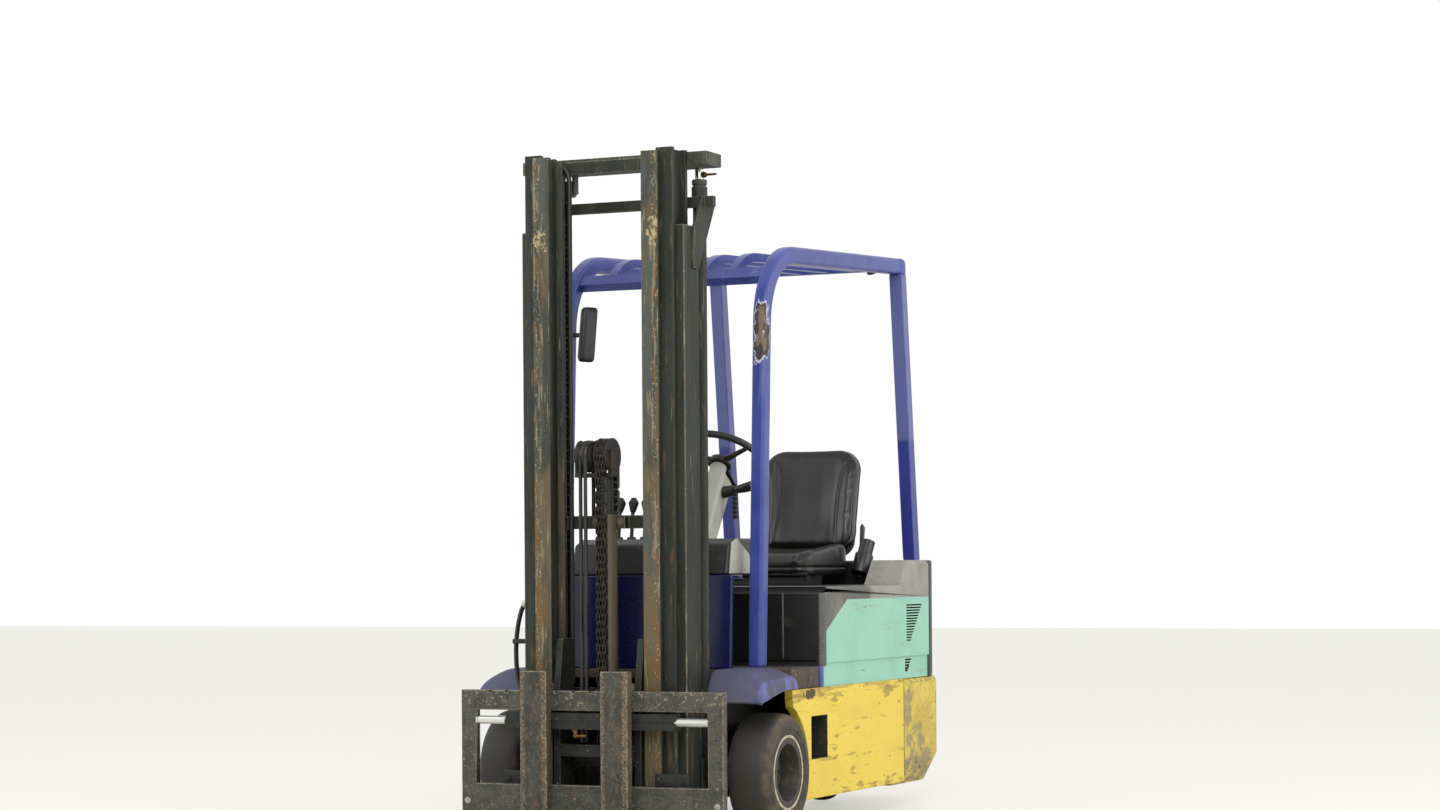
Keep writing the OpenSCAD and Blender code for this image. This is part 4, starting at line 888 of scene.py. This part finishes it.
backrest = startPlate(padOutline(seat["half"], *seat["back"], 60, 92), 0, seat["backDeep"])
turned(backrest, lambda deep, across, up: (across, deep + axleY / 1000, up))
padded(backrest, seat["cap"])
for vert in backrest.data.vertices:  # side bolsters and a hollow for the back
    y, z, across = vert.co.y * 1000 - axleY, vert.co.z * 1000, abs(vert.co.x) * 1000
    front = 1 - eased(y, 5, 30)
    vert.co.y -= front * (0.018 * eased(across, 105, 175) * eased(1330 - z, 10, 110)
                          - 0.006 * math.exp(-((z - 1130) / 110) ** 2) * (1 - eased(across, 50, 140))
                          + 0.010 * math.exp(-((z - 985) / 60) ** 2) * (1 - eased(across, 90, 160)))
backrest.data.update()
pressSeams(backrest, lambda c: abs(abs(c.x) - 0.128 - 0.03 * ((c.z - 1.1) / 0.2) ** 2)
           if c.y * 1000 - axleY < 22 and 0.955 < c.z < 1.285 else abs(c.y * 1000 - axleY - 34) / 1000,
           seat["seam"])
for vert in backrest.data.vertices:  # leaned back about its foot
    vert.co.y += seat["footY"] / 1000 + seat["lean"] * (vert.co.z - seat["foot"])
finished(backrest, "seatBackrest", "chassis", "seatVinyl", ["seat_back"], angle=80)

shell = rounded(startPlate(padOutline(190, 918, 1310, 60, 88), 0, 16), 4, 3)
turned(shell, lambda deep, across, up: (  # behind the pad, at its lean
    across, deep + (axleY + seat["shellY"]) / 1000 + seat["lean"] * (up - seat["foot"]), up))
finished(shell, "seatShell", "chassis", "blackAbs")
roll = startRod((262, 1345, 852), (268, 1380, 926), 35, 32)
inEdit(roll, (bpy.ops.mesh.select_mode, {"type": "FACE"}))
for face in roll.data.polygons:
    face.select = len(face.vertices) > 8
onSelected(roll, bpy.ops.mesh.inset, thickness=0.007)
low = [f for f in roll.data.polygons if f.select and f.normal.z < 0]
for face in roll.data.polygons:
    face.select = face in low
onSelected(roll, bpy.ops.mesh.extrude_region_move, TRANSFORM_OT_translate={"value": (0.0045, 0.025, 0.05)})
finished(rounded(roll, 3, 3, 50), "hipRestraint", "chassis", "seatVinyl")
hinge = rounded(startPlate([(1418, 960), (1452, 955), (1466, 1032), (1440, 1045), (1424, 1030)], 232, 238), 2)
finished(hinge, "seatHingePlate", "chassis", "blackAbs")
holes = [startRod((236, y, z), (239, y, z), 4, 12) for y, z in
         ((1432, 975), (1446, 985), (1438, 1002), (1452, 1012), (1442, 1028))]
finished(joined(holes), "seatHingeHoles", "chassis", "blackAbs")
print("stage: seat")


def blockPair(x, low, high, width, segments=2):  # a block about x and its twin on the other side
    return [rounded(startBlock((s * x + low[0], *low[1:]), (s * x + high[0], *high[1:])), width, segments)
            for s in (1, -1)]


# driver's controls
hub = dict(y=650, z=1262, tilt=-35, rim=169, grip=13)
clearAll()
bpy.ops.mesh.primitive_torus_add(major_radius=hub["rim"] / 1000, minor_radius=hub["grip"] / 1000, major_segments=72,
                                 minor_segments=16)
ringPiece = settleMesh(bpy.context.object)
wheelParts = [ringPiece]
for step in range(3):
    a = math.radians(90 + 120 * step)
    spoke = startRod((0, -axleY, 0), (math.cos(a) * 163, math.sin(a) * 163 - axleY, 2), 15, 12, 9)
    for vert in spoke.data.vertices:
        vert.co.z *= 0.45
    wheelParts.append(spoke)
boss = startRod((0, -axleY, -16), (0, -axleY, 10), 44, 32, 38)
wheelParts.append(rounded(boss, 5, 3))
capPiece = startRod((0, -axleY, 8), (0, -axleY, 20), 30, 32, 22)
wheelParts.append(rounded(capPiece, 4, 3))
handWheel = joined(wheelParts)
handWheel.data.transform(Matrix.Translation(at(0, hub["y"], hub["z"]))
                         @ Matrix.Rotation(math.radians(hub["tilt"]), 4, "X"))
finished(handWheel, "handWheel", "hand_wheel", "blackAbs", ["steering_wheel"], angle=50)

lever = dict(across=(-218, -168, -118), boot=((262, 980), (262, 992), 18, 20, 14),
             stem=((262, 986), (275, 1082), 6.5, 16), knob=((275, 1078), (282, 1112), 9, 20, 19),
             top=((282, 1111), (285, 1130), 19, 20, 8))
pedal = dict(spans=((-150, -70, 600), (60, 140, 610)), front=150, rear=170, low=541)
levers = []
for x in lever["across"]:
    boot, stem, knob, top = [startRod((x, *a), (x, *b), *size) for a, b, *size in
                             (lever[part] for part in ("boot", "stem", "knob", "top"))]
    levers += [boot, stem, rounded(knob, 2), rounded(top, 4, 3)]
for x0, x1, high in pedal["spans"]:
    levers.append(rounded(startBlock((x0, pedal["front"], pedal["low"]), (x1, pedal["rear"], high)), 4))
finished(joined(levers), "leversAndPedals", "chassis", "blackAbs", ["controls"], angle=45)
stalk = dict(root=((52, 560, 1150), (96, 556, 1158), 22, 20, 18), arm=((96, 556, 1158), (168, 548, 1176), 12, 16, 14),
             x=100, y=556, high=1150, fold=16, folds=6)
stalkParts = [startRod(*stalk["root"]), startRod(*stalk["arm"])]
for k in range(stalk["folds"]):
    high = stalk["high"] - stalk["fold"] * k
    stalkParts.append(startRod((stalk["x"], stalk["y"], high), (stalk["x"], stalk["y"] + 1, high - 14), 13, 14, 9))
finished(joined([rounded(part, 2) for part in stalkParts]), "columnStalk", "chassis", "blackAbs")
dashSide = dict(outline=[(44, 862), (64, 968), (104, 982), (206, 928), (232, 862)], inner=301, outer=308)
dashCover = startPlate(dashSide["outline"], dashSide["inner"], dashSide["outer"])
finished(rounded(dashCover, 2.5), "dashSideCover", "chassis", "paleAbs")
railEnd = dict(outline=[(1450, 1988), (1501.5, 1991), (1500, 2028), (1494, 2041), (1480, 2047), (1450, 2049)],
               spans=((347.5, 398.5), (-398.5, -347.5)))
corners = [rounded(startPlate(railEnd["outline"], *span), 6, 3) for span in railEnd["spans"]]
finished(joined(corners), "guardCorners", "chassis", "blueEnamel")
seam = blockPair(507, (-3.6, 1148, 112), (3.6, 1152, 467), 1)
finished(joined(seam), "weightSeam", "chassis", "castIron")
mirror = dict(low=(-334, 158, 1604), high=(-262, 196, 1796), middle=(-298, 180, 1700), half=96, taper=0.010, bow=0.012,
              back=177, turn=68, post=-348, arm=8)
mirrorHead = rounded(startBlock(mirror["low"], mirror["high"]), 18, 5, 60)
for vert in mirrorHead.data.vertices:  # bowed back, narrower at the foot
    up = (vert.co.z * 1000 - mirror["middle"][2]) / mirror["half"]
    vert.co.x += mirror["taper"] * up
    if vert.co.y * 1000 - axleY > mirror["back"]:
        vert.co.y -= mirror["bow"] * up * up
middle = Matrix.Translation(at(*mirror["middle"]))
mirrorHead.data.transform(middle @ Matrix.Rotation(math.radians(mirror["turn"]), 4, "Z") @ middle.inverted())
mirrorArm = startRod((mirror["post"], 180, 1700), (-300, 180, 1700), mirror["arm"], 16)
finished(joined([mirrorHead, mirrorArm]), "sideMirror", "chassis", "blackAbs", ["mirror_head"])
print("stage: controls")


# fasteners and fittings
def boltHead(place, direction, radius, height):
    a = Vector(place)
    b = a + Vector(direction) * height
    head = rounded(startRod(a, b, radius, 6), radius * 0.15)
    washer = startRod(a, a + Vector(direction) * height * 0.25, radius * 1.35, 20)
    return [head, washer]


bolt = dict(x=458, face=-406.2, seat=-400, z=112, radius=11)  # flush, since the forks slide over them
carriageBolts = [startRod((s * bolt["x"], bolt["seat"], bolt["z"]), (s * bolt["x"], bolt["face"], bolt["z"]),
                          bolt["radius"]) for s in (-1, 1)]
finished(joined(carriageBolts), "carriageBolts", "side_shifter", "boltZinc")
bearing = dict(x=280, face=-374, bolts=38, boltZ=186)
pads = blockPair(bearing["x"], (-60, bearing["face"], 158), (60, -362, 212), 3)
for s in (1, -1):
    for x in (-bearing["bolts"], bearing["bolts"]):
        pads += boltHead((s * bearing["x"] + x, bearing["face"], bearing["boltZ"]), (0, -1, 0), 8, 5)
finished(joined(pads), "lowerBearingPads", "side_shifter", "blockEnamel")
barBolts = boltHead((-44, -256, 1037), (0, -1, 0), 12, 9) + boltHead((44, -256, 1037), (0, -1, 0), 12, 9)
finished(joined(barBolts), "midBarBolts", "inner_mast", "oiledTube")
barrel = dict(x=272, y=-105, low=2158, high=2176, gland=25.5)
clamps = blockPair(barrel["x"], (-30, -134, 2082), (27, -78, 2116), 5, 3)
for s in (1, -1):
    clamps.append(rounded(startRod((s * barrel["x"], barrel["y"], barrel["low"]),
                                   (s * barrel["x"], barrel["y"], barrel["high"]), barrel["gland"], 28), 3))
finished(joined(clamps), "barrelClamps", "outer_mast", "mastEnamel", edge="mastEdge")
bleed = dict(y=-105, z=2192)
bleeder = boltHead((284, bleed["y"], bleed["z"]), (1, 0, 0), 9, 14)
bleeder.append(startRod((270, bleed["y"], bleed["z"]), (334, bleed["y"], bleed["z"]), 4.5, 12, 3.5))
finished(joined(bleeder), "bleedScrew", "middle_mast", "brassFitting")
roofLead = startTube([(330, 1300, 1995), (333, 1310, 1985), (336, 1325, 1982), (342, 1335, 1990), (346, 1345, 1996)],
                     4, 8)
roofPlug = rounded(startBlock((322, 1286, 1976), (342, 1304, 1996)), 3)
finished(joined([roofLead, roofPlug]), "roofLampLead", "chassis", "blackAbs")
edges = blockPair(500, (-11, 345, 470), (10, 379, 541), 3)
finished(joined(edges), "floorEdge", "chassis", "blueEnamel")
sills = blockPair(498, (-9, 96, 470), (8, 344, 540), 4)
finished(joined(sills), "floorSills", "chassis", "floorRubber")
beads = blockPair(357, (-3, 376.5, 566), (3, 382, 790), 1.5)
finished(joined(beads), "hoodFrontBeads", "chassis", "greyAbs")
collar = dict(inner=419, outer=427, radius=18)
collars = [rounded(startRod((s * collar["inner"], shiftRods["y"], shiftRods["z"]),
                            (s * collar["outer"], shiftRods["y"], shiftRods["z"]), collar["radius"], 6), 2)
           for s in (1, -1)]
finished(joined(collars), "shiftRodCollars", "side_shifter", "rodChrome", angle=35)
fitting = dict(x=-62, y=-385)
port = boltHead((fitting["x"], fitting["y"], 354), (0, 0, -1), 11, 12)
port.append(startRod((fitting["x"], fitting["y"], 344), (fitting["x"], fitting["y"], 326), 7, 16))
port.append(rounded(startRod((-70, fitting["y"], 332), (-24, fitting["y"], 332), 6, 16), 1.5))
finished(joined(port), "shiftPortFitting", "carriage", "brassFitting")
print("stage: fittings")

# floor, light
clearAll()
bpy.ops.mesh.primitive_plane_add(size=60, location=(0, 0, -0.001))
floor = bpy.context.object
floor.name = "studioFloor"
floorPaint = bpy.data.materials.new("studioFloorPaint")
floorPaint.use_nodes = True
floorTree = floorPaint.node_tree
floorTree.nodes.clear()
floorSkin = addNode(floorTree, "BsdfPrincipled", {"Base Color": linear("f1eee4"), "Roughness": 0.3})
floorGlow = addNode(floorTree, "Emission", {"Color": linear("fbfaf3"), "Strength": 1.0})
floorRay = addNode(floorTree, "LightPath", out="Is Camera Ray")
floorShare = addNode(floorTree, "Math", {0: floorRay, 1: 0.55}, operation="MULTIPLY")
floorMix = addNode(floorTree, "MixShader", {0: floorShare, 1: floorSkin, 2: floorGlow})
addNode(floorTree, "OutputMaterial", {"Surface": floorMix})
floor.data.materials.append(floorPaint)
world = bpy.data.worlds.new("studioWorld")
bpy.context.scene.world = world
world.use_nodes = True
worldTree = world.node_tree
worldTree.nodes.clear()
glow = addNode(worldTree, "Background", {"Color": (1, 1, 1, 1), "Strength": 0.62})
seen = addNode(worldTree, "Background", {"Color": (1, 1, 1, 1), "Strength": 1.0})
rays = addNode(worldTree, "LightPath").node.outputs
either = addNode(worldTree, "Math", {0: rays["Is Camera Ray"], 1: rays["Is Glossy Ray"]}, operation="MAXIMUM")
chooser = addNode(worldTree, "MixShader", {0: either, 1: glow, 2: seen})
addNode(worldTree, "OutputWorld", {"Surface": chooser})
lamps = {"key": ((2.5, -5.5, 5.0), 4.0, 260), "side": ((6.0, 1.5, 3.6), 3.5, 130),
         "fill": ((-5.0, -3.0, 3.6), 4.0, 90)}
for name, (place, size, power) in lamps.items():
    clearAll()
    bpy.ops.object.light_add(type="AREA", location=place)
    lamp = bpy.context.object
    lamp.name = name + "Lamp"
    lamp.data.size = size
    lamp.data.energy = power
    lamp.rotation_euler = (Vector((0, 0.2, 1.0)) - Vector(place)).to_track_quat("-Z", "Y").to_euler()
bpy.context.scene.view_settings.view_transform = "Standard"
print("stage: light")
